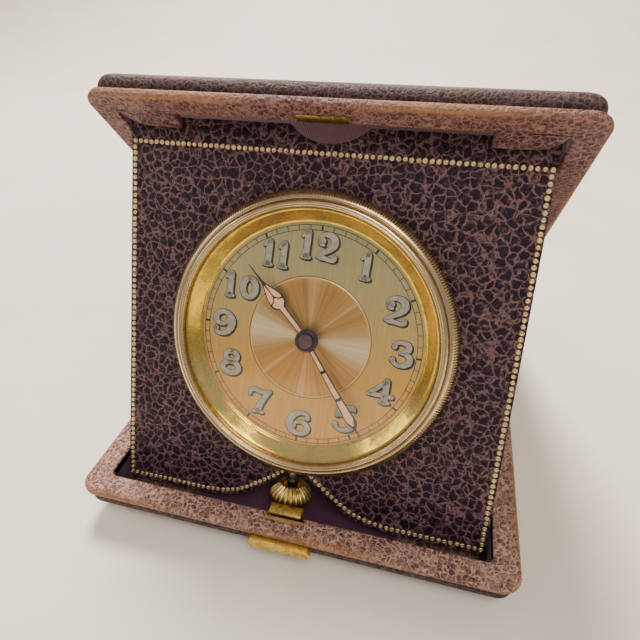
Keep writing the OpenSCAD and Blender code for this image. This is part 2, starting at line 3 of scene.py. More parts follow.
import bpy
import numpy as np
from mathutils import Matrix, Vector


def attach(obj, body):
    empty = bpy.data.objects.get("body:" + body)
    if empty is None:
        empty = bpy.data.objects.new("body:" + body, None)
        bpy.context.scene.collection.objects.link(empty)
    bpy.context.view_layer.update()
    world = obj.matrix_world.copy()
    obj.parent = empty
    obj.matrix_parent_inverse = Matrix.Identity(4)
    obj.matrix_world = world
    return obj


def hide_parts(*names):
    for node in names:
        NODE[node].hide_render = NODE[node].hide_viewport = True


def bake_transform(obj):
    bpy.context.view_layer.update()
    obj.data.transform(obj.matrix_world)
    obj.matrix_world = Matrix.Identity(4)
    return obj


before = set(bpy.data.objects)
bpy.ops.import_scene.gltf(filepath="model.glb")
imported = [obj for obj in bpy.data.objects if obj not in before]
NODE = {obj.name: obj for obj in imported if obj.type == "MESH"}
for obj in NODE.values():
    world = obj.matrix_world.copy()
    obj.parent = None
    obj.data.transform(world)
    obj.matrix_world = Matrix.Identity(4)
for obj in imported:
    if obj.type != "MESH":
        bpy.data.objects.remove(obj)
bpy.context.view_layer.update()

C, S, PI = math.cos, math.sin, math.pi

# ---------------------------------------------------------------- sizes, mm
CW, CD, TH = 81.8, 85.2, 8.6
LIP, RF, RS = 1.6, 4.4, 4.55
HX = CW / 2 - RS
TABX, TABD = 25.7, 8.15
SHY, FZ = -35.323, 4.56
HY, HZ = 41.117, 8.6
LEAN, COV, TWIST = math.radians(23), math.radians(49.4), math.radians(2)
CV = 33.94
BODY_R, BEZ = 22.9, 25.95
HOUR_A, MIN_A = math.radians(313.9), math.radians(142.8)

# frames, as matrices from millimetres in the part's own axes to metres in the row
K = Matrix.Scale(0.001, 4)
T = Matrix.Translation
M_BASE = K @ T((0, HY, HZ)) @ Matrix.Diagonal((1, 1, -1, 1))
M_COVER = K @ T((0, HY, HZ)) @ Matrix.Rotation(-COV, 4, "X")
M_PANEL = K @ T((0, SHY, FZ)) @ Matrix.Rotation(-LEAN, 4, "X")
M_CLOCK = M_PANEL @ T((0, 0, CV)) @ Matrix.Rotation(PI / 2, 4, "X") @ Matrix.Rotation(-TWIST, 4, "Z")
M_ROW = K.copy()
rng = np.random.default_rng(7)


def place(name, verts, faces, frame_m, body, mat, smooth=True, level=False):
    """A mesh drawn in millimetres in one of the frames; its vertices are stored in metres in that frame's axes, or in the row's own with level."""
    me = bpy.data.meshes.new(name)
    v = np.asarray(verts, float)
    if level:
        v = np.array([tuple((frame_m @ Vector(q)) * 1000.0) for q in v])
        if frame_m.to_3x3().determinant() < 0:
            faces = [tuple(reversed(f)) for f in faces]
        frame_m = K
    flip = frame_m.to_3x3().determinant() < 0
    rot = frame_m.to_3x3() * 1000.0
    loc = frame_m.to_translation()
    if flip:  # a mirrored frame: mirror the points, keep the object's own turn proper
        v = v * np.array([1, 1, -1.0])
        rot = rot @ Matrix.Diagonal((1, 1, -1))
        faces = [tuple(reversed(f)) for f in faces]
    me.from_pydata((v * 0.001).tolist(), [], [tuple(int(i) for i in f) for f in faces])
    me.update()
    me.validate()
    if smooth:
        me.polygons.foreach_set("use_smooth", [True] * len(me.polygons))
    ob = bpy.data.objects.new(name, me)
    bpy.context.collection.objects.link(ob)
    ob.matrix_world = T(loc) @ rot.to_4x4()
    if mat is not None:
        ob.data.materials.append(mat)
    bpy.context.view_layer.update()
    if body:
        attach(ob, body)
    return ob


def sharp(ob, deg=35):
    """Smooth shading broken at edges sharper than deg."""
    me = ob.data
    me.polygons.foreach_set("use_smooth", [True] * len(me.polygons))
    me.set_sharp_from_angle(angle=math.radians(deg))


def lathe(prof, n, closed=False, mod=None):
    """Turns (r, z) points about z. mod(k, j, r, z) -> (r, z) lets a rim be reeded or fluted."""
    prof = list(prof)
    m = len(prof)
    vs, fs = [], []
    for k in range(n):
        a = 2 * PI * k / n
        for j, (r, z) in enumerate(prof):
            if mod:
                r, z = mod(k, j, r, z)
            vs.append((r * C(a), r * S(a), z))
    for k in range(n):
        k2 = (k + 1) % n
        for j in range(m if closed else m - 1):
            j2 = (j + 1) % m
            fs.append((k * m + j, k2 * m + j, k2 * m + j2, k * m + j2))
    return vs, fs


def arc(cx, cy, r, a0, a1, n):
    return [(cx + r * C(math.radians(a0 + (a1 - a0) * i / n)), cy + r * S(math.radians(a0 + (a1 - a0) * i / n))) for i in range(n + 1)]


def catmull(pts, n=8, closed=False):
    p = np.array(pts, float)
    if closed:
        p = np.vstack([p[-1], p, p[0], p[1]])
    else:
        p = np.vstack([2 * p[0] - p[1], p, 2 * p[-1] - p[-2]])
    out = []
    for i in range(1, len(p) - 2):
        for t in np.linspace(0, 1, n, endpoint=False):
            out.append(0.5 * ((2 * p[i]) + (-p[i - 1] + p[i + 1]) * t + (2 * p[i - 1] - 5 * p[i] + 4 * p[i + 1] - p[i + 2]) * t * t
                              + (-p[i - 1] + 3 * p[i] - 3 * p[i + 1] + p[i + 2]) * t ** 3))
    if not closed:
        out.append(p[-2])
    return np.array(out)


# ---------------------------------------------------------------- materials
class NT:
    """A small helper for node materials."""

    def __init__(self, name):
        self.m = bpy.data.materials.new(name)
        self.m.use_nodes = True
        self.t = self.m.node_tree
        self.b = self.t.nodes["Principled BSDF"]
        self.out = self.t.nodes["Material Output"]

    def n(self, kind, **kw):
        nd = self.t.nodes.new(kind)
        for k, v in kw.items():
            if k.startswith("i_"):
                nd.inputs[k[2:].replace("_", " ")].default_value = v
            else:
                setattr(nd, k, v)
        return nd

    def l(self, a, b):
        self.t.links.new(a, b)

    def coords(self, rot=(0, 0, 0), loc=(0, 0, 0), scale=1000.0):
        """Object coordinates in millimetres."""
        tc = self.n("ShaderNodeTexCoord")
        mp = self.n("ShaderNodeMapping", vector_type="POINT")
        mp.inputs["Location"].default_value = loc
        mp.inputs["Rotation"].default_value = rot
        mp.inputs["Scale"].default_value = (scale,) * 3
        self.l(tc.outputs["Object"], mp.inputs["Vector"])
        return mp.outputs["Vector"]

    def vscale(self, v, s):
        nd = self.n("ShaderNodeVectorMath", operation="MULTIPLY")
        self.l(v, nd.inputs[0])
        nd.inputs[1].default_value = s if isinstance(s, (tuple, list)) else (s,) * 3
        return nd.outputs[0]

    def noise(self, v, scale, detail=4, rough=0.55, dist=0.0):
        nd = self.n("ShaderNodeTexNoise")
        self.l(v, nd.inputs["Vector"])
        nd.inputs["Scale"].default_value = scale
        nd.inputs["Detail"].default_value = detail
        nd.inputs["Roughness"].default_value = rough
        nd.inputs["Distortion"].default_value = dist
        return nd.outputs["Fac"]

    def voro(self, v, scale, feature="F1", rand=1.0):
        nd = self.n("ShaderNodeTexVoronoi", feature=feature)
        self.l(v, nd.inputs["Vector"])
        nd.inputs["Scale"].default_value = scale
        nd.inputs["Randomness"].default_value = rand
        return nd.outputs["Distance"]

    def ramp(self, f, stops, interp="LINEAR"):
        nd = self.n("ShaderNodeValToRGB")
        nd.color_ramp.interpolation = interp
        els = nd.color_ramp.elements
        while len(els) < len(stops):
            els.new(0.5)
        for e, (p, c) in zip(els, stops):
            e.position = p
            e.color = tuple(c) + (1,) if len(c) == 3 else tuple(c)
        self.l(f, nd.inputs["Fac"])
        return nd.outputs["Color"]

    def math(self, op, a, b=None, c=None, clamp=False):
        nd = self.n("ShaderNodeMath", operation=op, use_clamp=clamp)
        for i, x in enumerate((a, b, c)):
            if x is None:
                continue
            if isinstance(x, (int, float)):
                nd.inputs[i].default_value = x
            else:
                self.l(x, nd.inputs[i])
        return nd.outputs[0]

    def mix(self, f, a, b, mode="MIX"):
        nd = self.n("ShaderNodeMix", data_type="RGBA", blend_type=mode)
        for sock, x in ((0, f), (6, a), (7, b)):
            if isinstance(x, (int, float)):
                nd.inputs[sock].default_value = x
            elif isinstance(x, (tuple, list)):
                nd.inputs[sock].default_value = tuple(x) + (1,) if len(x) == 3 else tuple(x)
            else:
                self.l(x, nd.inputs[sock])
        return nd.outputs[2]

    def maprange(self, f, a, b, c=0.0, d=1.0, kind="SMOOTHSTEP"):
        nd = self.n("ShaderNodeMapRange", interpolation_type=kind)
        self.l(f, nd.inputs["Value"])
        for nme, v in (("From Min", a), ("From Max", b), ("To Min", c), ("To Max", d)):
            nd.inputs[nme].default_value = v
        return nd.outputs["Result"]

    def sep(self, v):
        nd = self.n("ShaderNodeSeparateXYZ")
        self.l(v, nd.inputs[0])
        return nd.outputs

    def bump(self, h, dist=0.0001, strength=1.0, prev=None):
        nd = self.n("ShaderNodeBump")
        nd.inputs["Strength"].default_value = strength
        nd.inputs["Distance"].default_value = dist
        self.l(h, nd.inputs["Height"])
        if prev is not None:
            self.l(prev, nd.inputs["Normal"])
        return nd.outputs["Normal"]

    def set(self, **kw):
        for k, v in kw.items():
            s = self.b.inputs[k.replace("_", " ")]
            if isinstance(v, (int, float)):
                s.default_value = v
            elif isinstance(v, (tuple, list)):
                s.default_value = tuple(v) + (1,) if len(v) == 3 and s.type == "RGBA" else tuple(v)
            else:
                self.l(v, s)
        return self.m


def hexc(h):
    h = h.lstrip("#")
    c = [int(h[i:i + 2], 16) / 255 for i in (0, 2, 4)]
    return tuple(x / 12.92 if x <= 0.04045 else ((x + 0.055) / 1.055) ** 2.4 for x in c)


def leather(name, cell, vein, worn, cells=0.62, worn_amt=0.0, vein_w=0.09, rough=0.42, bumpd=0.00012, edge_tan=None):
    """Pebble-grain leather: dark cells, lighter veins between them, and worn patches."""
    k = NT(name)
    v = k.coords()
    wob = k.n("ShaderNodeTexNoise")
    wob.inputs["Scale"].default_value = 0.8
    wob.inputs["Detail"].default_value = 3
    k.l(v, wob.inputs["Vector"])
    off = k.n("ShaderNodeVectorMath", operation="MULTIPLY_ADD")
    k.l(wob.outputs["Color"], off.inputs[0])
    off.inputs[1].default_value = (1.5, 1.5, 1.5)
    k.l(v, off.inputs[2])
    vv = off.outputs[0]
    d1 = k.voro(vv, cells, "DISTANCE_TO_EDGE")
    d2 = k.voro(vv, cells * 2.1, "DISTANCE_TO_EDGE")
    fine = k.noise(v, 5.0, 5, 0.65)
    big = k.noise(v, 0.12, 4, 0.6)
    mid = k.noise(v, 0.9, 4, 0.6)
    brk = k.noise(v, 1.1, 3, 0.6)
    e1 = k.maprange(k.math("ADD", d1, k.math("MULTIPLY_ADD", fine, 0.10, -0.05)), 0.0, vein_w * 1.8, 1, 0)
    e2 = k.maprange(d2, 0.0, vein_w * 1.2, 0.55, 0)
    edge = k.math("MAXIMUM", k.math("MULTIPLY", e1, k.maprange(brk, 0.36, 0.52, 0.30, 1)), k.math("MULTIPLY", e2, k.maprange(mid, 0.46, 0.62, 0.0, 1)))
    cellc = k.mix(k.maprange(fine, 0.35, 0.65), tuple(x * 0.45 for x in cell), tuple(min(1, x * 1.5) for x in cell))
    veinc = k.mix(big, vein, tuple(0.6 * a + 0.4 * b for a, b in zip(vein, worn)))
    col = k.mix(edge, cellc, veinc)
    if worn_amt > 0:
        w = k.math("MULTIPLY", k.maprange(big, 0.35, 0.62, 0.35, 1), worn_amt, clamp=True)
        blot = k.maprange(k.noise(v, 0.55, 6, 0.72, 0.8), 0.44, 0.56)
        wc = k.mix(blot, worn, k.mix(0.84, worn, cell))
        wc = k.mix(edge, wc, tuple(min(1, x * 1.2 + 0.02) for x in worn))
        col = k.mix(w, col, wc)
    # tan edge colour laid by a per-point attribute: real rubbed edges, and on a tray wall's shoulder also a painted
    # highlight
    if edge_tan is not None:
        pt = k.n("ShaderNodeAttribute", attribute_name="wear_and_sheen")
        col = k.mix(pt.outputs["Fac"], col, k.mix(fine, tuple(x * 0.75 for x in edge_tan), edge_tan))
    h = k.math("SUBTRACT", k.maprange(d1, 0.0, 0.28, 0, 1), k.math("MULTIPLY", k.maprange(d2, 0, 0.2, 1, 0), 0.3))
    h = k.math("ADD", h, k.math("MULTIPLY", fine, 0.25))
    nrm = k.bump(h, bumpd, 0.8)
    r = k.math("ADD", k.math("MULTIPLY", fine, 0.25), rough - 0.08, clamp=True)
    return k.set(Base_Color=col, Roughness=r, Normal=nrm, Specular_IOR_Level=0.24, IOR=1.45)


def metal(name, col, dark, rough=0.28, tarnish=0.5, scale=0.5, brush=None, bumpd=0.00002, spots=0.0, metallic=1.0, anis=0.0, rot=(0, 0, 0), warm=None):
    """Metal with tarnish patches, fine scratches and an optional brushed direction (a scale per axis)."""
    k = NT(name)
    v = k.coords(rot=rot)
    n1 = k.noise(v, scale, 5, 0.62, 0.4)
    n2 = k.noise(v, scale * 7, 4, 0.6)
    f = k.maprange(n1, 0.40, 0.68)
    f = k.math("MULTIPLY", f, tarnish)
    c = k.mix(f, col, dark)
    c = k.mix(k.math("MULTIPLY", k.maprange(n2, 0.45, 0.7), 0.25), c, tuple(min(1, x * 1.15) for x in (warm or col)))
    h = k.math("MULTIPLY", n2, 0.6)
    r = k.math("ADD", k.math("MULTIPLY", f, 0.3), rough, clamp=True)
    if brush is not None:
        br = k.noise(k.vscale(v, brush), 1.0, 3, 0.7)
        c = k.mix(k.math("MULTIPLY", k.maprange(br, 0.3, 0.7), 0.35), c, tuple(x * 0.72 for x in col))
        h = k.math("ADD", h, br)
        r = k.math("ADD", r, k.math("MULTIPLY", br, 0.1), clamp=True)
    if spots > 0:
        sp = k.voro(v, 0.55)
        m = k.math("MULTIPLY", k.maprange(sp, 0.06, 0.14, 1, 0), spots)
        c = k.mix(m, c, tuple(x * 0.35 for x in dark))
    return k.set(Base_Color=c, Metallic=metallic, Roughness=r, Normal=k.bump(h, bumpd, 0.8), Anisotropic=anis)


def silk(name, rot, ribdir, col, col2, pitch=0.42):
    """Ribbed silk: fine cords across the cloth, their colour shifting in soft patches."""
    k = NT(name)
    v = k.coords(rot=rot)
    s = k.sep(v)
    x = s[ribdir]
    wob = k.noise(v, 0.35, 3, 0.5)
    ph = k.math("ADD", k.math("MULTIPLY", x, 2 * PI / pitch), k.math("MULTIPLY", wob, 6.0))
    rib = k.math("MULTIPLY_ADD", k.math("SINE", ph), 0.5, 0.5)
    y = s[1 - ribdir if ribdir < 2 else 1]
    cross = k.math("MULTIPLY_ADD", k.math("SINE", k.math("MULTIPLY", y, 2 * PI / 0.17)), 0.5, 0.5)
    patch = k.noise(v, 0.16, 4, 0.6)
    c = k.mix(k.maprange(patch, 0.35, 0.65), col, col2)
    c = k.mix(k.math("MULTIPLY", rib, 0.55), tuple(a * 0.45 for a in col), c)
    c = k.mix(k.math("MULTIPLY", cross, 0.12), c, tuple(min(1, a * 1.8) for a in col2))
    h = k.math("ADD", rib, k.math("MULTIPLY", cross, 0.25))
    return k.set(Base_Color=c, Roughness=0.48, Normal=k.bump(h, 0.00006, 0.9), Sheen_Weight=0.55, Sheen_Roughness=0.35,
                 Specular_IOR_Level=0.35, Anisotropic=0.3)


def wood(name, rot=(0, 0, 0)):
    k = NT(name)
    v = k.coords(rot=rot)
    g = k.noise(k.vscale(v, (0.5, 0.03, 0.5)), 1.0, 6, 0.65, 1.2)
    f = k.noise(k.vscale(v, (6, 0.35, 6)), 1.0, 4, 0.7)
    c = k.ramp(g, [(0.3, hexc("#8a6238")), (0.5, hexc("#b98d58")), (0.7, hexc("#a47845"))])
    c = k.mix(k.math("MULTIPLY", k.maprange(f, 0.5, 0.7), 0.5), c, hexc("#6f4c2a"))
    return k.set(Base_Color=c, Roughness=0.62, Normal=k.bump(f, 0.00003, 0.7), Specular_IOR_Level=0.3)


CELL, VEIN, WORN = hexc("#1c1119"), hexc("#644e50"), hexc("#a07a68")
m_panel = leather("panel_leather", hexc("#1d0a1a"), hexc("#705254"), hexc("#80605a"), cells=0.66, vein_w=0.075, rough=0.46, bumpd=0.00014)
m_wall = leather("tray_leather", hexc("#29171f"), hexc("#5c4340"), hexc("#6b4e46"), cells=1.05, worn_amt=0.30, rough=0.56, bumpd=0.00008, edge_tan=hexc("#9c7a68"))
m_rim = leather("rim_leather", hexc("#482a38"), hexc("#b38c76"), hexc("#c39a84"), cells=1.0, worn_amt=0.52, vein_w=0.11, rough=0.38, bumpd=0.00032, edge_tan=hexc("#aa7448"))
m_rimc = leather("cover_rim_leather", hexc("#2e1523"), hexc("#8c6660"), hexc("#8c6660"), cells=1.05, worn_amt=0.46, vein_w=0.11, rough=0.50, bumpd=0.00015, edge_tan=hexc("#b58058"))
m_tab = leather("tab_leather", hexc("#2e1523"), hexc("#86625f"), hexc("#86625f"), cells=1.05, worn_amt=0.46, vein_w=0.11, rough=0.50, bumpd=0.00015, edge_tan=hexc("#6e4c54"))
m_spine = leather("spine_leather", hexc("#2a1b1f"), hexc("#5c423c"), hexc("#8a6652"), cells=0.9, worn_amt=0.25, rough=0.5)
# the base lining is a much darker copy of the cover's silk: painted shade for the hollow it lines
m_shaded_base_silk = silk("silk_base_painted_shade", (0, 0, 0), 0, hexc("#45233a"), hexc("#542c44"))
m_silk_c = silk("silk_cover", (COV, 0, 0), 0, hexc("#9c6e94"), hexc("#aa7892"))
m_wood = wood("board_wood")
m_bezel = metal("bezel_gilt", hexc("#cdb48c"), hexc("#927a5a"), rough=0.22, tarnish=0.5, scale=0.25, bumpd=0.000008)
m_rehaut = metal("rehaut_gold", hexc("#dcb433"), hexc("#8a6f22"), rough=0.11, tarnish=0.65, scale=0.22, warm=hexc("#f4dc58"), bumpd=0.000016)
m_bead = metal("bead_gilt", hexc("#e2c896"), hexc("#6e5125"), rough=0.38, tarnish=0.55, scale=1.6, metallic=0.85)
m_crown = metal("crown_brass", hexc("#b99c5e"), hexc("#3e341c"), rough=0.28, tarnish=0.9, scale=0.45, bumpd=0.00003)
m_latch = metal("latch_brass", hexc("#ecc55c"), hexc("#7c5b22"), rough=0.30, tarnish=0.65, scale=0.8, bumpd=0.00012, spots=0.5)
m_strike = metal("strike_brass", hexc("#9a8048"), hexc("#4a3a1c"), rough=0.32, tarnish=0.85, scale=0.9, bumpd=0.00009, spots=0.5)
m_catch = metal("catch_brass", hexc("#cda95a"), hexc("#4c3a18"), rough=0.30, tarnish=0.85, scale=0.9, bumpd=0.00010, spots=0.5)
m_case = metal("case_brass", hexc("#c9a860"), hexc("#8a6c35"), rough=0.3, tarnish=0.5, scale=0.15, brush=(8, 8, 8))
m_plate = metal("plate_gilt", hexc("#d6b978"), hexc("#a08248"), rough=0.38, tarnish=0.35, scale=0.3, brush=(14, 0.5, 14))
m_wheel = metal("wheel_brass", hexc("#dcb765"), hexc("#8f6d2e"), rough=0.24, tarnish=0.4, scale=0.6)
m_steel = metal("steel", hexc("#b9b8b6"), hexc("#6d6560"), rough=0.24, tarnish=0.45, scale=0.6, brush=(12, 12, 1.2))
m_screw = metal("screw_steel", hexc("#aeb0b6"), hexc("#55585f"), rough=0.2, tarnish=0.4, scale=1.0)
m_blue = metal("blued_steel", hexc("#39486e"), hexc("#1e2438"), rough=0.25, tarnish=0.4, scale=1.0)
m_tube = metal("tube_steel", hexc("#b8b4b2"), hexc("#6b4f45"), rough=0.18, tarnish=0.6, scale=0.9)

# dial: brushed downwards; its colour runs from orange at the foot to greenish at the top, a painted reflection of the
# surroundings
k = NT("dial_gilt")
v = k.coords()
s = k.sep(v)
# painted reflection: a colour ramp by height on the dial, orange at the foot, greenish grey at the top, stirred by a
# soft cloud
reflection_grad = k.maprange(s[1], -19.0, 20.0, 0, 1, "LINEAR")
cloud = k.noise(v, 0.11, 4, 0.6)
reflection_grad = k.math("ADD", reflection_grad, k.math("MULTIPLY_ADD", cloud, 0.3, -0.15), clamp=True)
br = k.noise(k.vscale(v, (9, 0.16, 1)), 1.0, 5, 0.7)
br2 = k.noise(k.vscale(v, (2.2, 0.05, 1)), 1.0, 3, 0.6)
c = k.ramp(reflection_grad, [(0.0, hexc("#dd9c38")), (0.30, hexc("#dda546")), (0.55, hexc("#cba860")), (0.8, hexc("#bdb07a")), (1.0, hexc("#b3aa78"))])
c = k.mix(k.math("MULTIPLY", k.maprange(br, 0.35, 0.65), 0.26), c, hexc("#7c6638"))
c = k.mix(k.math("MULTIPLY", k.maprange(br2, 0.4, 0.7), 0.22), c, hexc("#d8c48e"))
sp = k.voro(k.vscale(v, (1, 1, 0.01)), 0.16)
c = k.mix(k.math("MULTIPLY", k.maprange(sp, 0.02, 0.05, 1, 0), 0.35), c, hexc("#7a5a38"))
m_dial = k.set(Base_Color=c, Metallic=0.72, Roughness=k.math("MULTIPLY_ADD", br, 0.2, 0.34), Normal=k.bump(k.math("ADD", br, br2), 0.00002, 0.8), Anisotropic=0.4)

# turned centre: copper gold, with painted reflections and highlights of its concentric turning: light rays, a bowtie
# highlight at 3 and 9 o'clock and thin spokes; a slight colour shift from foot to top, fine turned rings and a light
# ring at the raised edge
k = NT("dial_centre")
v = k.coords()
s = k.sep(v)
ang = k.math("ARCTAN2", s[1], s[0])
rad = k.math("SQRT", k.math("ADD", k.math("MULTIPLY", s[0], s[0]), k.math("MULTIPLY", s[1], s[1])))
cv = k.n("ShaderNodeCombineXYZ")
k.l(k.math("MULTIPLY", k.math("COSINE", ang), 9.0), cv.inputs[0])
k.l(k.math("MULTIPLY", k.math("SINE", ang), 9.0), cv.inputs[1])
# noise round the angle: painted reflection rays in the colour, also used in the bump
ray_reflection_noise = k.noise(cv.outputs[0], 0.8, 5, 0.75)
# painted highlights: a bowtie at 3 and 9 o'clock, thin spokes every 45 degrees and at 12 and 6
bowtie_highlight = k.math("POWER", k.math("ABSOLUTE", k.math("COSINE", k.math("ADD", ang, 0.06))), 22.0)
spoke_highlight = k.math("POWER", k.math("ABSOLUTE", k.math("COSINE", k.math("MULTIPLY", ang, 4.0))), 120.0)
top = k.math("POWER", k.math("ABSOLUTE", k.math("SINE", ang)), 90.0)
# colour shifts slightly from the foot to the top
c = k.ramp(k.maprange(s[1], -11, 11, 0, 1, "LINEAR"), [(0.0, hexc("#c88f44")), (0.45, hexc("#bf883e")), (0.62, hexc("#b9853c")), (1.0, hexc("#b58a44"))])
c = k.mix(k.math("MULTIPLY", k.maprange(ray_reflection_noise, 0.4, 0.62), 0.55), c, hexc("#ddac5c"))
c = k.mix(k.math("MULTIPLY", bowtie_highlight, k.maprange(ray_reflection_noise, 0.25, 0.55, 0.55, 1.0), clamp=True), c, hexc("#f2dfae"))
c = k.mix(k.math("MULTIPLY", spoke_highlight, 0.65), c, hexc("#f0c486"))
c = k.mix(k.math("MULTIPLY", top, k.maprange(ray_reflection_noise, 0.42, 0.55, 0, 0.7), clamp=True), c, hexc("#e9b678"))
rings = k.math("MULTIPLY_ADD", k.math("SINE", k.math("MULTIPLY", rad, 60.0)), 0.5, 0.5)
c = k.mix(k.math("MULTIPLY", rings, 0.10), c, hexc("#7c5228"))
c = k.mix(k.maprange(rad, 10.75, 10.95, 0, 0.8), c, hexc("#efc684"))
m_centre = k.set(Base_Color=c, Metallic=0.75, Roughness=0.30, Normal=k.bump(k.math("ADD", k.math("MULTIPLY", rings, 0.5), ray_reflection_noise), 0.000012, 0.8), Anisotropic=0.6)


def plain(name, col, col2, rough=0.4, scale=1.5, metallic=0.0, bumpd=0.00002, spec=0.4, bias=(0.35, 0.65)):
    k = NT(name)
    v = k.coords()
    a = k.noise(v, scale, 5, 0.6)
    b = k.noise(v, scale * 6, 4, 0.65)
    c = k.mix(k.maprange(a, *bias), col, col2)
    c = k.mix(k.math("MULTIPLY", k.maprange(b, 0.5, 0.7), 0.35), c, tuple(x * 0.6 for x in col))
    return k.set(Base_Color=c, Metallic=metallic, Roughness=k.math("MULTIPLY_ADD", b, 0.2, rough - 0.1, clamp=True), Normal=k.bump(b, bumpd, 0.7), Specular_IOR_Level=spec)


m_num = plain("numeral_fill", hexc("#b0a696"), hexc("#989080"), 0.42, 1.2, 0.35, 0.00003)
# black for the numerals' printed outlines and their painted drop shadows
m_ink_and_shadow = plain("numeral_ink_and_drop_shadow", hexc("#17120f"), hexc("#241c16"), 0.4, 2.0, 0.0, 0.00002)
m_track = plain("track_ink", hexc("#1e140d"), hexc("#2c1e13"), 0.5, 1.0, 0.0, 0.00001)
m_line = plain("centre_line", hexc("#5a3b22"), hexc("#70492a"), 0.45, 1.0, 0.4, 0.00001)
m_lume = plain("lume", hexc("#eebd97"), hexc("#e0a67c"), 0.7, 1.6, 0.0, 0.00004, 0.2)
m_hand = plain("hand_lacquer", hexc("#23120f"), hexc("#33201a"), 0.3, 1.6, 0.2, 0.00002, 0.5)
m_hub = plain("hub_lacquer", hexc("#1d0f16"), hexc("#2c1a20"), 0.22, 1.0, 0.3, 0.00002, 0.6)
m_cap = plain("cap_lacquer", hexc("#5d3f3d"), hexc("#4a3032"), 0.3, 1.4, 0.35, 0.00003, 0.5)

k = NT("crystal")
v = k.coords()
dust = k.noise(v, 1.2, 6, 0.7)
m_glass = k.set(Base_Color=(1, 1, 1), Metallic=1.0, Roughness=k.math("MULTIPLY", k.maprange(dust, 0.45, 0.8), 0.08), Alpha=0.032,
                Normal=k.bump(dust, 0.0000015, 0.5))

# ---------------------------------------------------------------- trays
def outline(w0, w1, y0, y1, r, nc, segx, segy):
    """Rounded rectangle, counter-clockwise from the front-left, with fixed points along each side."""
    pts, tag = [], []
    xs = [w0 + r + (w1 - w0 - 2 * r) * t for t in segx]
    ys = [y0 + r + (y1 - y0 - 2 * r) * t for t in segy]
    for x in xs:
        pts.append((x, y0)); tag.append("f")
    for p in arc(w1 - r, y0 + r, r, -90, 0, nc)[1:-1]:
        pts.append(p); tag.append("c")
    for y in ys:
        pts.append((w1, y)); tag.append("r")
    for p in arc(w1 - r, y1 - r, r, 0, 90, nc)[1:-1]:
        pts.append(p); tag.append("c")
    for x in reversed(xs):
        pts.append((x, y1)); tag.append("b")
    for p in arc(w0 + r, y1 - r, r, 90, 180, nc)[1:-1]:
        pts.append(p); tag.append("c")
    for y in reversed(ys):
        pts.append((w0, y)); tag.append("l")
    for p in arc(w0 + r, y0 + r, r, 180, 270, nc)[1:-1]:
        pts.append(p); tag.append("c")
    return np.array(pts), tag


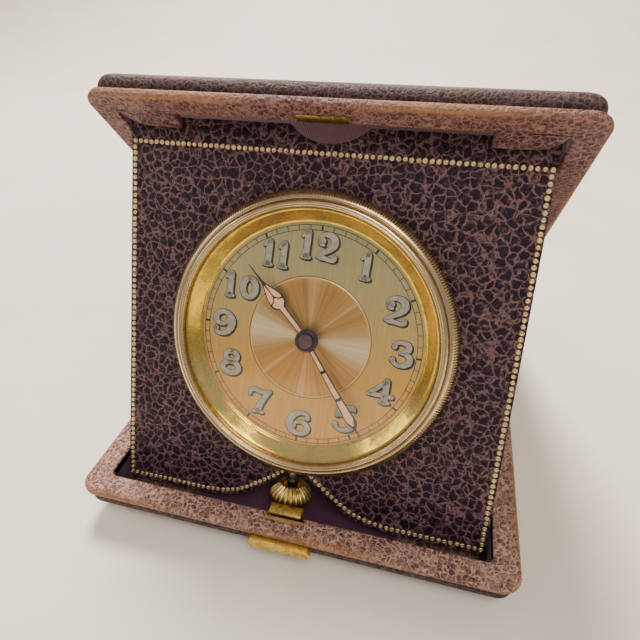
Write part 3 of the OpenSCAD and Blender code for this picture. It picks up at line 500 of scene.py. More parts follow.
def tray(name, M, body, cut, nodes, mats, drop):
    """The leather skin of a tray: rim, rounded lip, groove, padded wall and crowned board. cut is (half width, from, to) of the cut-out in the front rim, drop how deep it goes."""
    # profile: (inset from outline, u out of the mating face, rubbing and painted highlight 0..1, part 0 rim 1 wall)
    P = []
    def add(i, u, w, p): P.append((i, u, w, p))
    add(RF, 1.9, 0.0, 0); add(RF, 0.55, 0.0, 0); add(RF, 0.32, 0.15, 0); add(RF - 0.10, 0.12, 0.3, 0); add(RF - 0.32, 0.02, 0.25, 0)
    for t in (cut[1] + 1.4, cut[1] + 1.05, cut[1] + 0.7, cut[1] + 0.35, cut[1] + 0.04, cut[1] - 0.04):
        if t < RF - 0.4:
            add(t, 0.0, 0.05, 0)
    for t in (2.2, 1.8, 1.4, 1.05, 0.8):
        if t < cut[1] - 0.1:
            add(t, 0.0, 0.1 if t > 1 else 0.35, 0)
    for a in (75, 55, 35, 15, 0):
        add(0.6 - 0.6 * C(math.radians(a)) if a else 0.0, 0.6 - 0.6 * S(math.radians(a)), 0.75 - 0.005 * (75 - a) / 1.0 if a else 0.6, 0)
    add(0.0, 1.05, 0.8, 0); add(0.1, 1.42, 0.7, 0); add(0.35, 1.62, 0.2, 0); add(0.8, 1.72, 0.0, 0); add(1.3, 1.85, 0.0, 1)
    add(1.42, 2.1, 0.0, 1); add(1.3, 2.35, 0.0, 1)
    # the padded wall: its band near u 4.4 to 5.85 is partly real rubbing on the roll's shoulder and partly a painted
    # highlight along that shoulder
    for u, i, w in ((2.6, 1.05, .0), (3.0, 0.90, .0), (3.5, 0.82, .0), (4.0, 0.82, .05), (4.4, 0.90, .2), (4.8, 1.08, .45), (5.15, 1.36, .55), (5.5, 1.72, .45), (5.85, 2.14, .25), (6.3, 2.72, .1), (6.75, 3.32, .05), (7.2, 3.94, .05),
                    (7.6, 4.5, .1), (7.98, 5.08, .2), (8.28, 5.62, .25), (8.48, 6.2, .15), (8.57, 6.8, .1), (8.6, 7.4, .05)):
        add(i, u, w, 1)
    for i in (10, 14, 19, 25, 31):
        add(i, 8.6, 0.0, 1)
    hw = cut[0]
    L = CW - 7.0
    base = list(np.linspace(0, 1, 75))
    for xx in (-hw - 0.05, -hw + 0.05, hw - 0.05, hw + 0.05):
        base.append((xx + L / 2) / L)
    segx = sorted(base)
    segy = list(np.linspace(0, 1, 79))
    ring0, tag = outline(-CW / 2, CW / 2, -CD, -0.15, 3.5, 10, segx, segy)
    n = len(ring0)
    cx, cy = 0.0, (-CD - 0.15) / 2
    vs = np.zeros((n, len(P), 3)); wear_and_sheen = np.zeros((n, len(P)))
    th = np.arctan2(ring0[:, 1] - cy, ring0[:, 0])
    for j, (i, u, w, p) in enumerate(P):
        iy = i
        ix = i + (RS - RF) * min(1.0, i / RF) if p == 0 else i
        r = max(3.5 - i, 1.2 if p == 0 else 0.6)
        x0, y0 = CW / 2 - ix, (CD - 0.15) / 2 - iy
        r = min(r, x0 - 0.1, y0 - 0.1)
        # same sampling, smaller outline: move each point by its share along sides
        ring, _ = outline(-x0, x0, cy - y0, cy + y0, r, 10, segx, segy)
        # keep the cut's own points true to x
        f = np.array([t == "f" for t in tag])
        ring[f, 0] = ring0[f, 0] * np.clip((x0 - r) / (CW / 2 - 3.5), 0, 10) if p else ring0[f, 0] * (x0 - r) / (CW / 2 - 3.5)
        if p == 0:
            near = f & (np.abs(ring0[:, 0]) < 12)
            blend_ = np.clip((12 - np.abs(ring0[:, 0])) / 6, 0, 1)
            ring[near, 0] = ring[near, 0] * (1 - blend_[near]) + ring0[near, 0] * blend_[near]
        vs[:, j, 0], vs[:, j, 1], vs[:, j, 2] = ring[:, 0], ring[:, 1], u
        wear_and_sheen[:, j] = w
    # hand-made unevenness
    ph = rng.uniform(0, 2 * PI, 8)
    wob = sum(np.sin(th * kk + ph[q]) / kk for q, kk in enumerate((3, 5, 9, 14, 23, 37))) * 0.05
    for j, (i, u, w, p) in enumerate(P):
        if 0.05 < u < 8.5 and i < 2.5:
            nx, ny = np.cos(th), np.sin(th)
            amt = (wob - 0.09) * (0.6 if p == 0 else 1.0)
            vs[:, j, 0] += np.where(np.abs(nx) > 0.72, np.sign(nx) * amt, 0)
            vs[:, j, 1] += np.where(np.abs(ny) > 0.72, np.sign(ny) * amt, 0)
        if p == 0 and u < 0.05:
            vs[:, j, 2] += np.abs(rng.normal(0, 0.012, n)) + 0.03 * (np.sin(th * 11 + ph[6]) + 1)
    wear_and_sheen = np.clip(wear_and_sheen * (0.55 + 0.45 * np.sin(th * 7 + ph[7])[:, None]) + rng.normal(0, 0.06, wear_and_sheen.shape), 0, 1) * (wear_and_sheen > 0)
    # the cut-out in the front rim
    front = np.array([t == "f" for t in tag])
    for a in range(n):
        if front[a] and abs(ring0[a, 0]) < hw:
            for j, (i, u, w, p) in enumerate(P):
                if p == 0 and i > cut[1] and u < drop:
                    vs[a, j, 2] = drop
                    wear_and_sheen[a, j] = 0
    m = len(P)
    faces, mi = [], []
    for a in range(n):
        b = (a + 1) % n
        for j in range(m - 1):
            faces.append((a * m + j, a * m + j + 1, b * m + j + 1, b * m + j))
            mi.append(0 if P[j + 1][3] == 0 else 1)
    for a in range(n):
        faces.append((a * m + m - 1, n * m, ((a + 1) % n) * m + m - 1))
        mi.append(1)
    pts = np.vstack([vs.reshape(-1, 3), [[0.0, cy, 8.6]]])
    wear_and_sheen = np.append(wear_and_sheen.reshape(-1), 0.0)
    ob = place(name, pts, faces, M, body, None, level=True)
    for mm in mats:
        ob.data.materials.append(mm)
    ob.data.polygons.foreach_set("material_index", mi)
    # per-point rubbing, which on the wall's shoulder is also a painted highlight
    at = ob.data.attributes.new("wear_and_sheen", "FLOAT", "POINT")
    at.data.foreach_set("value", wear_and_sheen.reshape(-1).astype(np.float32))
    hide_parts(*nodes)
    return ob


base_skin = tray("base_tray_leather", M_BASE, "base", (3.6, 2.9), ["base_rim_leather", "base_leather"], [m_rim, m_wall], 1.3)
cover_skin = tray("cover_tray_leather", M_COVER, "cover", (4.1, 2.6), ["cover_rim_leather", "cover_leather"], [m_rimc, m_wall], 0.5)


def pad(loop, u0, u1, r, steps=4, wear_edge=0.8):
    """A flat pad with soft edges: loop is a closed outline, u0 its face, u1 its back."""
    p = np.array(loop, float)
    n = len(p)
    d = np.roll(p, -1, 0) - np.roll(p, 1, 0)
    nr = np.stack([d[:, 1], -d[:, 0]], 1)
    nr /= np.linalg.norm(nr, axis=1)[:, None]
    if np.sum(p[:, 0] * np.roll(p[:, 1], -1) - np.roll(p[:, 0], -1) * p[:, 1]) < 0:
        nr = -nr
    rows, wr = [], []
    for t in range(steps + 1):
        a = PI / 2 * (1 - t / steps)
        rows.append((r * (1 - C(a)), u0 + r * (1 - S(a)))); wr.append(wear_edge * (0.3 + 0.7 * t / steps))
    for t in range(steps + 1):
        a = PI / 2 * t / steps
        rows.append((r * (1 - C(a)), u1 - r * (1 - S(a)))); wr.append(wear_edge * (1 - t / steps))
    rows = [(r * 2.2, u0)] + rows
    wr = [0.0] + wr
    vs = []
    for off, u in rows:
        q = p - nr * off
        vs += [(x, y, u) for x, y in q]
    m = len(rows)
    fs = []
    for j in range(m - 1):
        for a in range(n):
            b = (a + 1) % n
            fs.append((j * n + a, j * n + b, (j + 1) * n + b, (j + 1) * n + a))
    fs.append(tuple(reversed(range(n))))
    fs.append(tuple((m - 1) * n + a for a in range(n)))
    w = np.repeat(wr, n)
    return vs, fs, w


def with_wear(ob, w):
    at = ob.data.attributes.new("wear_and_sheen", "FLOAT", "POINT")
    at.data.foreach_set("value", np.asarray(w, np.float32))
    return ob


for sgn in (-1, 1):
    lp = [(-HX + 0.15, -CD + 3.4), (-HX + 0.35, -CD + 4.4), (-HX + 0.9, -CD + 5.6), (-HX + 1.7, -CD + 6.7), (-HX + 2.7, -CD + 7.6), (-HX + 4.0, -CD + 8.05), (-HX + 6.5, -CD + 8.12),
          (-29.0, -CD + 8.12), (-27.0, -CD + 8.15), (-25.95, -CD + 8.1), (-25.72, -CD + 7.8), (-25.7, -CD + 6.5), (-25.75, -CD + 5.0), (-25.8, -CD + 3.4)]
    if sgn > 0:
        lp = [(-x, y) for x, y in reversed(lp)]
    vs, fs, w = pad(catmull(lp, 4, closed=True) if False else np.array(lp), 0.03, 1.55, 0.34)
    ob = place("cover_tab_" + ("left" if sgn < 0 else "right"), vs, fs, M_COVER, "cover", m_tab)
    with_wear(ob, w)
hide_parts("cover_tabs")

# ---------------------------------------------------------------- gilt beads on the panel
HALF = [(35.0, 0.0), (18.3, 0.0), (14.6, 0.42), (11.6, 1.25), (9.3, 2.45), (7.0, 4.05), (4.9, 5.55), (2.9, 7.15)]


def walk(pts, pitch, closed=False):
    p = np.array(pts, float)
    if closed:
        p = np.vstack([p, p[0]])
    seg = np.linalg.norm(np.diff(p, axis=0), axis=1)
    tot = seg.sum()
    k_ = max(2, int(round(tot / pitch)))
    cum = np.concatenate([[0], np.cumsum(seg)])
    out = []
    for t in np.linspace(0, tot, k_ + (0 if closed else 1), endpoint=not closed):
        i = min(len(seg) - 1, np.searchsorted(cum, t, side="right") - 1)
        f = (t - cum[i]) / seg[i]
        out.append(p[i] * (1 - f) + p[i + 1] * f)
    return out


curve_r = catmull(HALF[1:], 6)
spots = []
spots += walk([(-35, 65.5), (35, 65.5)], 1.05)
spots += walk([(35, 65.5), (35, 0)], 1.05)[1:]
spots += walk([(-35, 65.5), (-35, 0)], 1.05)[1:]
spots += walk([(35, 0)] + [tuple(q) for q in curve_r], 1.05)[1:]
spots += walk([(-35, 0)] + [(-x, y) for x, y in curve_r], 1.05)[1:]
prof = [(0.43, -0.04), (0.42, 0.07), (0.36, 0.17), (0.27, 0.21), (0.19, 0.19), (0.13, 0.11), (0.0, 0.08)]
bv, bf = [], []
NB = 12
for (bx, bz) in spots:
    sc = rng.uniform(0.93, 1.05)
    jx, jz = rng.normal(0, 0.025, 2)
    o = len(bv)
    for j, (r, h) in enumerate(prof[:-1]):
        for q in range(NB):
            a = 2 * PI * q / NB
            bv.append((bx + jx + r * sc * C(a), -h * sc, bz + jz + r * sc * S(a)))
    bv.append((bx + jx, -prof[-1][1], bz + jz))
    for j in range(len(prof) - 2):
        for q in range(NB):
            q2 = (q + 1) % NB
            bf.append((o + j * NB + q, o + j * NB + q2, o + (j + 1) * NB + q2, o + (j + 1) * NB + q))
    top_ = o + (len(prof) - 1) * NB
    for q in range(NB):
        bf.append((o + (len(prof) - 2) * NB + q, o + (len(prof) - 2) * NB + (q + 1) % NB, top_))
beads = place("gilt_beads", bv, bf, M_PANEL, "panel", m_bead)

# ---------------------------------------------------------------- bezel, rehaut, crystal
BP = [(25.1, 0.12), (25.55, 0.06), (25.78, 0.10), (25.90, 0.22), (25.93, 0.55), (25.95, 1.0), (25.95, 1.4), (25.90, 1.72), (25.78, 1.98), (25.62, 2.16), (25.50, 2.27), (25.40, 2.36),
      (25.2, 2.52), (24.95, 2.70), (24.7, 2.86), (24.5, 2.93), (24.34, 2.93), (24.24, 2.86), (24.20, 2.78), (24.15, 2.86), (24.08, 3.10), (23.98, 3.30), (23.8, 3.48), (23.6, 3.57), (23.45, 3.58),
      (23.32, 3.52), (23.27, 3.44), (23.20, 3.50), (23.08, 3.50), (22.95, 3.38), (22.86, 3.15), (22.85, 2.9), (22.85, 0.95), (23.5, 0.95), (23.9, 1.9), (25.1, 1.3)]
RE = 330


def reed(kk, j, r, z):
    if 3 <= j <= 12:
        d = (0.0, 0.0, -0.18, -0.28, -0.28, -0.18)[kk % 6] * {3: 0.6, 11: 0.9, 12: 0.5}.get(j, 1.0)
        return r + d, z
    return r, z


vs, fs = lathe(BP, RE * 6, closed=True, mod=reed)
bez = place("milled_bezel", vs, fs, M_CLOCK, "panel", m_bezel)
sharp(bez, 50)
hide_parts("bezel")

RP = [(20.42, 0.12), (20.42, 0.34), (20.50, 0.42), (20.62, 0.46), (20.75, 0.50), (20.85, 0.62), (21.2, 0.98), (21.6, 1.42), (22.0, 1.86), (22.35, 2.24), (22.5, 2.38), (22.62, 2.42), (22.78, 2.42), (22.8, 2.2), (22.8, 0.9), (22.2, 0.9), (22.2, 0.12)]
vs, fs = lathe(RP, 320, closed=True)
reh = place("rehaut_ring", vs, fs, M_CLOCK, "panel", m_rehaut)
sharp(reh, 40)
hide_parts("rehaut")

GP = [(22.8 * math.sin(t * PI / 2 / 22), 0) for t in range(23)]
gtop = [(max(r, 0.0), 3.0 + 1.5 * (1 - (r / 22.8) ** 2)) for r, _ in GP]
vs, fs = lathe(gtop[1:] + [(22.8, 2.45)] + [(r, z - 0.55) for r, z in reversed(gtop[1:])], 192)
o = len(vs)
m_ = len(gtop[1:]) * 2 + 1
vs = list(vs) + [(0, 0, 4.5), (0, 0, 3.95)]
fs = list(fs) + [(a * m_, o, ((a + 1) % 192) * m_)[::1] for a in range(192)] + [(a * m_ + m_ - 1, ((a + 1) % 192) * m_ + m_ - 1, o + 1) for a in range(192)]
cry = place("crystal_dome", vs, fs, M_CLOCK, "panel", m_glass)
sharp(cry, 40)
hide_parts("crystal")

# ---------------------------------------------------------------- dial
DPf = [(1.15, -0.15), (1.15, 0.1)] + [(r, 0.1) for r in (3, 6, 9, 12, 15, 18, 20, 21.88)] + [(21.9, 0.08), (21.9, -0.15)]
vs, fs = lathe(DPf, 192, closed=True)
dial = place("dial_face", vs, fs, M_CLOCK, "panel", m_dial)
sharp(dial, 30)
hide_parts("dial")
vs, fs = lathe([(1.3, 0.1), (1.3, 0.125)] + [(r, 0.125) for r in (2.5, 4, 5.5, 7, 8.5, 10, 10.8)] + [(10.9, 0.145), (11.0, 0.15), (11.08, 0.13), (11.1, 0.1)], 256)
cen = place("dial_centre_disc", vs, fs, M_CLOCK, "panel", m_centre)
sharp(cen, 60)

tv, tf = [], []


def add_part(V, F, v2, f2):
    o_ = len(V)
    V += list(v2)
    F += [tuple(i + o_ for i in f) for f in f2]


def flatbar(x0, y0, x1, y1, w, z0, z1, w2=None):
    w2 = w if w2 is None else w2
    d = np.array([x1 - x0, y1 - y0]); d = d / np.linalg.norm(d)
    nn = np.array([-d[1], d[0]])
    a, b = np.array([x0, y0]), np.array([x1, y1])
    q = [a + nn * w / 2, a - nn * w / 2, b - nn * w2 / 2, b + nn * w2 / 2]
    v_ = [(x, y, z0) for x, y in q] + [(x, y, z1) for x, y in q]
    f_ = [(0, 1, 5, 4), (1, 2, 6, 5), (2, 3, 7, 6), (3, 0, 4, 7), (4, 5, 6, 7), (3, 2, 1, 0)]
    return v_, f_


for R in (19.12, 19.98):
    add_part(tv, tf, *lathe([(R - 0.06, 0.1), (R - 0.06, 0.122), (R + 0.06, 0.122), (R + 0.06, 0.1)], 256))
for i in range(60):
    a = 2 * PI * i / 60
    w_ = 0.36 if i % 5 == 0 else 0.12
    add_part(tv, tf, *flatbar(19.1 * S(a), 19.1 * C(a), 19.98 * S(a), 19.98 * C(a), w_, 0.1, 0.124 + (0.004 if i % 5 == 0 else 0)))
trk = place("minute_track", tv, tf, M_CLOCK, "panel", m_track, smooth=False)
tv, tf = [], []
add_part(tv, tf, *lathe([(11.12, 0.1), (11.12, 0.121), (11.24, 0.121), (11.24, 0.1)], 256))
cl = place("centre_border", tv, tf, M_CLOCK, "panel", m_line, smooth=False)


# numerals: each is a set of strokes, (points, widths)
def ball(x, y, r):
    return ([(x, y), (x + 0.001, y)], [2 * r, 2 * r])


G = {
    "1": [([(0.22, 2.05), (0.2, 0.5), (0.15, -0.8), (0.1, -1.75)], [0.95, 1.0, 1.0, 1.15]),
          ([(0.3, 2.12), (-0.25, 1.85), (-0.78, 1.3)], [0.6, 0.55, 0.28]),
          ([(0.1, -1.7), (-0.35, -1.95), (-0.62, -1.98)], [0.8, 0.55, 0.42]),
          ([(0.1, -1.7), (0.5, -1.98), (0.85, -1.98)], [0.8, 0.55, 0.42])],
    "2": [([(-0.55, 0.95), (-0.55, 1.25), (-0.9, 1.35), (-1.2, 1.05), (-1.1, 0.55), (-0.6, 0.4)], [0.3, 0.35, 0.5, 0.65, 0.55, 0.3]),
          ([(-1.3, 0.85), (-1.25, 1.6), (-0.55, 2.1), (0.35, 2.1), (1.1, 1.6), (1.25, 0.75), (0.7, -0.05), (-0.3, -0.75), (-1.3, -1.45)], [0.55, 0.5, 0.6, 0.85, 1.1, 1.15, 0.9, 0.6, 0.5]),
          ([(-1.5, -1.6), (-0.9, -1.65), (0.0, -1.75), (0.9, -1.9), (1.45, -1.75), (1.6, -1.35)], [0.35, 0.75, 0.6, 0.6, 0.65, 0.5])],
    "3": [ball(-1.25, 1.25, 0.42),
          ([(-1.35, 1.35), (-0.8, 1.95), (0.1, 2.1), (0.95, 1.7), (1.0, 0.95), (0.35, 0.35), (-0.2, 0.2)], [0.5, 0.5, 0.6, 0.95, 1.0, 0.6, 0.4]),
          ([(-0.1, 0.22), (0.75, 0.1), (1.45, -0.5), (1.35, -1.4), (0.5, -2.0), (-0.6, -1.95), (-1.35, -1.35)], [0.4, 0.65, 1.0, 1.05, 0.7, 0.55, 0.5]),
          ball(-1.3, -1.2, 0.46)],
    "4": [([(0.75, 2.0), (-0.4, 0.8), (-1.75, -0.62)], [0.75, 0.6, 0.6]),
          ([(-1.9, -0.72), (0.0, -0.72), (1.85, -0.72)], [0.62, 0.62, 0.62]),
          ([(0.75, 2.0), (0.75, 0.0), (0.75, -1.85)], [1.0, 1.0, 1.05]),
          ([(0.05, -1.98), (0.75, -1.85), (1.45, -1.98)], [0.4, 0.65, 0.4])],
    "5": [([(-0.95, 1.85), (0.2, 1.95), (1.35, 2.05), (1.6, 1.75)], [0.75, 0.8, 0.75, 0.4]),
          ([(-0.95, 1.9), (-1.05, 1.0), (-1.15, 0.35)], [0.65, 0.6, 0.55]),
          ([(-1.15, 0.35), (-0.3, 0.65), (0.7, 0.5), (1.45, -0.25), (1.4, -1.25), (0.6, -1.95), (-0.5, -2.0), (-1.35, -1.5)], [0.45, 0.6, 0.8, 1.1, 1.1, 0.75, 0.55, 0.5]),
          ball(-1.35, -1.3, 0.46)],
    "6": [([(1.45, 1.15), (1.25, 1.85), (0.45, 2.1), (-0.55, 1.75), (-1.3, 0.75), (-1.5, -0.45), (-1.0, -1.5), (0.0, -1.98), (1.05, -1.65), (1.5, -0.75), (1.05, 0.1), (0.15, 0.3), (-0.55, -0.1), (-0.6, -0.75)],
          [0.55, 0.5, 0.6, 0.9, 1.1, 1.15, 0.9, 0.65, 0.85, 1.0, 0.7, 0.5, 0.4, 0.3]),
          ball(1.3, 1.2, 0.40)],
    "7": [([(-1.75, 1.05), (-1.6, 1.75), (-0.9, 2.0), (0.0, 1.75), (0.9, 1.75), (1.75, 2.0)], [0.45, 0.7, 0.75, 0.7, 0.65, 0.45]),
          ([(1.75, 2.0), (0.95, 0.9), (0.3, -0.3), (-0.1, -1.6)], [0.5, 0.85, 1.0, 1.1]),
          ([(-0.1, -1.6), (-0.6, -1.95), (-0.95, -1.98)], [0.8, 0.5, 0.4]),
          ([(-0.1, -1.6), (0.35, -1.95), (0.75, -1.98)], [0.8, 0.5, 0.4])],
    "8": [([(0.95 * S(t) * (0.98), 1.1 + 0.82 * C(t)) for t in np.linspace(0, 2 * PI, 15)], [0.75] * 15),
          ([(1.25 * S(t), -0.95 + 1.02 * C(t)) for t in np.linspace(0, 2 * PI, 17)], [0.85] * 17)],
    "0": [([(1.2 * S(t), 1.6 * C(t)) for t in np.linspace(0, 2 * PI, 19)], [0.75 + 0.3 * abs(S(t)) for t in np.linspace(0, 2 * PI, 19)])],
}
G["9"] = [([(-x, -y) for x, y in p], w) for p, w in G["6"]]


def ribbon(V, F, pts, ws, ox, oy, sx, sy, grow, z0, z1, bev=0.0):
    """A flat stroke with round ends."""
    pts = np.array(pts, float)
    n = len(pts)
    if n > 2:
        t = np.linspace(0, n - 1, (n - 1) * 5 + 1)
        cm = catmull(pts, 5)
        wm = np.interp(np.linspace(0, n - 1, len(cm)), range(n), ws)
    else:
        cm, wm = pts, np.array(ws, float)
    cm = cm * np.array([sx, sy]) + np.array([ox, oy])
    hw_ = wm / 2 + grow
    d = np.gradient(cm, axis=0)
    d = d / (np.linalg.norm(d, axis=1)[:, None] + 1e-9)
    nn = np.stack([-d[:, 1], d[:, 0]], 1)
    left = [cm[i] + nn[i] * hw_[i] for i in range(len(cm))]
    right = [cm[i] - nn[i] * hw_[i] for i in range(len(cm))]
    a0 = math.atan2(-nn[-1][1], -nn[-1][0])
    capE = [cm[-1] + hw_[-1] * np.array([C(a0 + PI * q / 8), S(a0 + PI * q / 8)]) for q in range(1, 8)]
    a1 = math.atan2(nn[0][1], nn[0][0])
    capS = [cm[0] + hw_[0] * np.array([C(a1 + PI * q / 8), S(a1 + PI * q / 8)]) for q in range(1, 8)]
    # strip mesh: quads along the stroke, fans at the ends
    o_ = len(V)
    L_, m2 = len(cm), len(cm)
    ringpts = left[::-1] + capS + right + capE
    c0 = len(ringpts)
    zt = z1
    for x, y in ringpts:
        V.append((x, y, z0))
    for x, y in ringpts:
        V.append((x, y, zt - bev))
    for i, (x, y) in enumerate(ringpts):
        q = cm[min(range(L_), key=lambda kk: (cm[kk][0] - x) ** 2 + (cm[kk][1] - y) ** 2)] if bev else None
        if bev:
            dd = np.array([q[0] - x, q[1] - y]); ln = np.linalg.norm(dd) + 1e-9
            V.append((x + dd[0] / ln * bev, y + dd[1] / ln * bev, zt))
        else:
            V.append((x, y, zt))
    for i in range(c0):
        j = (i + 1) % c0
        F.append((o_ + i, o_ + j, o_ + c0 + j, o_ + c0 + i))
        F.append((o_ + c0 + i, o_ + c0 + j, o_ + 2 * c0 + j, o_ + 2 * c0 + i))
    tp = o_ + 2 * c0
    idxL = lambda i: tp + (L_ - 1 - i)
    idxR = lambda i: tp + L_ + 7 + i
    for i in range(L_ - 1):
        F.append((idxL(i), idxR(i), idxR(i + 1), idxL(i + 1)))
    F.append(tuple([idxL(0)] + [tp + L_ + q for q in range(7)] + [idxR(0)]))
    F.append(tuple([idxR(L_ - 1)] + [tp + L_ + 7 + L_ + q for q in range(7)] + [idxL(L_ - 1)]))


NUM = [("1", -2.46, 16.38, .95, 1.07), ("2", 1.23, 16.29, 1.02, 1.05), ("1", -9.15, 13.98, .92, 1.0), ("1", -6.45, 13.92, .92, 1.0), ("1", -15.75, 7.32, .92, 1.0), ("0", -12.0, 7.3, 1.02, 1.06),
       ("9", -16.27, 0.11, 1.08, 1.02), ("8", -14.22, -7.23, 1.28, 1.07), ("7", -7.94, -13.74, 1.12, 1.1), ("6", 0.07, -16.4, 1.18, 1.02), ("5", 8.26, -13.59, 1.1, 1.08),
       ("4", 14.1, -7.08, 1.1, .98), ("3", 16.5, 0.24, 1.05, 0.98), ("2", 14.47, 7.47, 1.12, 1.05), ("1", 8.26, 14.08, 0.95, 1.0)]
nv, nf, ov, of_ = [], [], [], []
for g, x, y, sx, sy in NUM:
    for pts, ws in G[g]:
        ribbon(nv, nf, pts, ws, x - 0.04, y + 0.04, sx, sy, 0.085, 0.11, 0.235, 0.05)
        # printed black outline round each stroke; the second copy, offset right and down, is a painted drop shadow of
        # the raised numerals
        ribbon(ov, of_, pts, ws, x + 0.03, y - 0.03, sx, sy, 0.235, 0.1, 0.165)
        ribbon(ov, of_, pts, ws, x + 0.23, y - 0.17, sx, sy, 0.17, 0.1, 0.160)
num = place("numeral_faces", nv, nf, M_CLOCK, "panel", m_num, smooth=False)
ink = place("numeral_outlines_and_drop_shadows", ov, of_, M_CLOCK, "panel", m_ink_and_shadow, smooth=False)


# ---------------------------------------------------------------- hands
def poly_prism(V, F, loop, z0, z1, bev=0.05):
    p = np.array(loop, float)
    n = len(p)
    area = np.sum(p[:, 0] * np.roll(p[:, 1], -1) - np.roll(p[:, 0], -1) * p[:, 1])
    if area < 0:
        p = p[::-1]
    e1 = p - np.roll(p, 1, 0)
    e2 = np.roll(p, -1, 0) - p
    n1 = np.stack([e1[:, 1], -e1[:, 0]], 1) / (np.linalg.norm(e1, axis=1)[:, None] + 1e-9)
    n2 = np.stack([e2[:, 1], -e2[:, 0]], 1) / (np.linalg.norm(e2, axis=1)[:, None] + 1e-9)
    nr = n1 + n2
    nr /= np.linalg.norm(nr, axis=1)[:, None] + 1e-9
    o_ = len(V)
    for q, z in ((p, z0), (p, z1 - bev), (p - nr * bev, z1)):
        V += [(x, y, z) for x, y in q]
    for r_ in range(2):
        for i in range(n):
            j = (i + 1) % n
            F.append((o_ + r_ * n + i, o_ + r_ * n + j, o_ + (r_ + 1) * n + j, o_ + (r_ + 1) * n + i))
    F.append(tuple(o_ + 2 * n + i for i in range(n)))
    F.append(tuple(o_ + i for i in reversed(range(n))))


def turned(loop, a):
    return [(x * C(a) + y * S(a), -x * S(a) + y * C(a)) for x, y in loop]


def mirror_loop(right):
    return [(x, y) for x, y in right] + [(-x, y) for x, y in reversed(right)]


hub = [(2.02 * S(t), 2.02 * C(t)) for t in np.linspace(0, 2 * PI, 65)[:-1]]
# hour hand
HZ0, HZ1 = 1.2, 1.42
hv, hf, lv, lf = [], [], [], []
leaf_r = [(0.60, 7.0)] + [tuple(q) for q in catmull([(0.60, 7.05), (1.30, 7.75), (1.47, 8.5), (1.36, 9.4), (1.05, 10.6), (0.62, 11.7), (0.34, 12.5)], 5)] + [(0.22, 13.0), (0.13, 14.4), (0.05, 16.85)]
outl = mirror_loop([(0.53, 1.5)] + leaf_r)
poly_prism(hv, hf, turned(outl, HOUR_A), HZ0, HZ1, 0.03)
poly_prism(hv, hf, turned(hub, HOUR_A), HZ0, HZ1 + 0.03, 0.05)
shaft = mirror_loop([(0.34, 1.6), (0.36, 5.0), (0.40, 7.25), (0.72, 7.55), (1.05, 7.9), (1.22, 8.35), (1.1, 8.55), (0.62, 8.75), (0.16, 9.25)])
poly_prism(lv, lf, turned(shaft, HOUR_A), HZ1 - 0.02, HZ1 + 0.05, 0.03)
pet = [tuple(q) for q in catmull([(0.14, 9.75), (0.5, 9.15), (1.05, 8.85), (1.24, 9.0), (1.2, 9.5), (0.9, 10.5), (0.5, 11.5), (0.2, 12.15), (0.12, 11.3), (0.1, 10.4)], 4, closed=True)]
poly_prism(lv, lf, turned(pet, HOUR_A), HZ1 - 0.02, HZ1 + 0.05, 0.03)
poly_prism(lv, lf, turned([(-x, y) for x, y in pet], HOUR_A), HZ1 - 0.02, HZ1 + 0.05, 0.03)
hh = place("hour_hand_frame", hv, hf, M_CLOCK, "hour_group", m_hand, smooth=False)
hl = place("hour_hand_lume", lv, lf, M_CLOCK, "hour_group", m_lume, smooth=False)
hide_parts("hour_hand")
# minute hand
hv, hf, lv, lf = [], [], [], []
MZ0, MZ1 = 2.0, 2.2
outm = mirror_loop([(0.44, 1.5), (0.50, 5.0), (0.62, 10.0), (0.80, 14.0), (0.93, 15.7), (0.86, 16.3), (0.55, 17.1), (0.22, 17.9), (0.12, 18.4), (0.04, 19.95)])
poly_prism(hv, hf, turned(outm, MIN_A), MZ0, MZ1, 0.03)
poly_prism(hv, hf, turned(hub, MIN_A), MZ0, MZ1 + 0.04, 0.06)
for q in (mirror_loop([(0.26, 2.1), (0.33, 5.9)]), mirror_loop([(0.36, 6.5), (0.45, 11.5)]), mirror_loop([(0.48, 12.1), (0.66, 15.2), (0.72, 15.75), (0.45, 16.5), (0.1, 17.2)])):
    poly_prism(lv, lf, turned(q, MIN_A), MZ1 - 0.02, MZ1 + 0.05, 0.03)
mh = place("minute_hand_frame", hv, hf, M_CLOCK, "minute_group", m_hand, smooth=False)
ml = place("minute_hand_lume", lv, lf, M_CLOCK, "minute_group", m_lume, smooth=False)
vs, fs = lathe([(2.0, 2.02), (2.04, 2.12), (2.0, 2.26), (1.85, 2.36), (1.6, 2.40), (1.32, 2.40), (1.25, 2.36)], 96)
hb = place("hub_disc", vs, fs, M_CLOCK, "minute_group", m_hub)
vs, fs = lathe([(1.26, 2.3), (1.26, 2.62), (1.20, 2.76), (1.05, 2.84), (0.85, 2.88), (0.5, 2.90), (0.42, 2.88), (0.38, 2.80), (0.30, 2.80), (0.24, 2.86), (0.12, 2.89), (0.005, 2.9)], 96)
cp = place("hub_cap", vs, fs, M_CLOCK, "minute_group", m_cap)
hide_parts("minute_hand")

# ---------------------------------------------------------------- crown: fluted onion
CR = 4.35
cprof = [(0.50, 2.0), (1.70, 2.0), (1.80, 1.2), (1.86, 0.5), (1.94, 0.26), (2.08, 0.2), (2.3, 0.28), (2.6, 0.46), (2.95, 0.72), (3.3, 1.02), (3.62, 1.34), (3.9, 1.7), (4.12, 2.05), (4.27, 2.38), (4.34, 2.64), (4.33, 2.84),
         (4.24, 3.04), (4.05, 3.26), (3.75, 3.5), (3.35, 3.72), (2.9, 3.92), (2.4, 4.1), (1.85, 4.24), (1.5, 4.32), (1.2, 4.36), (0.8, 4.4), (0.01, 4.42)]
NF, SUB = 24, 12


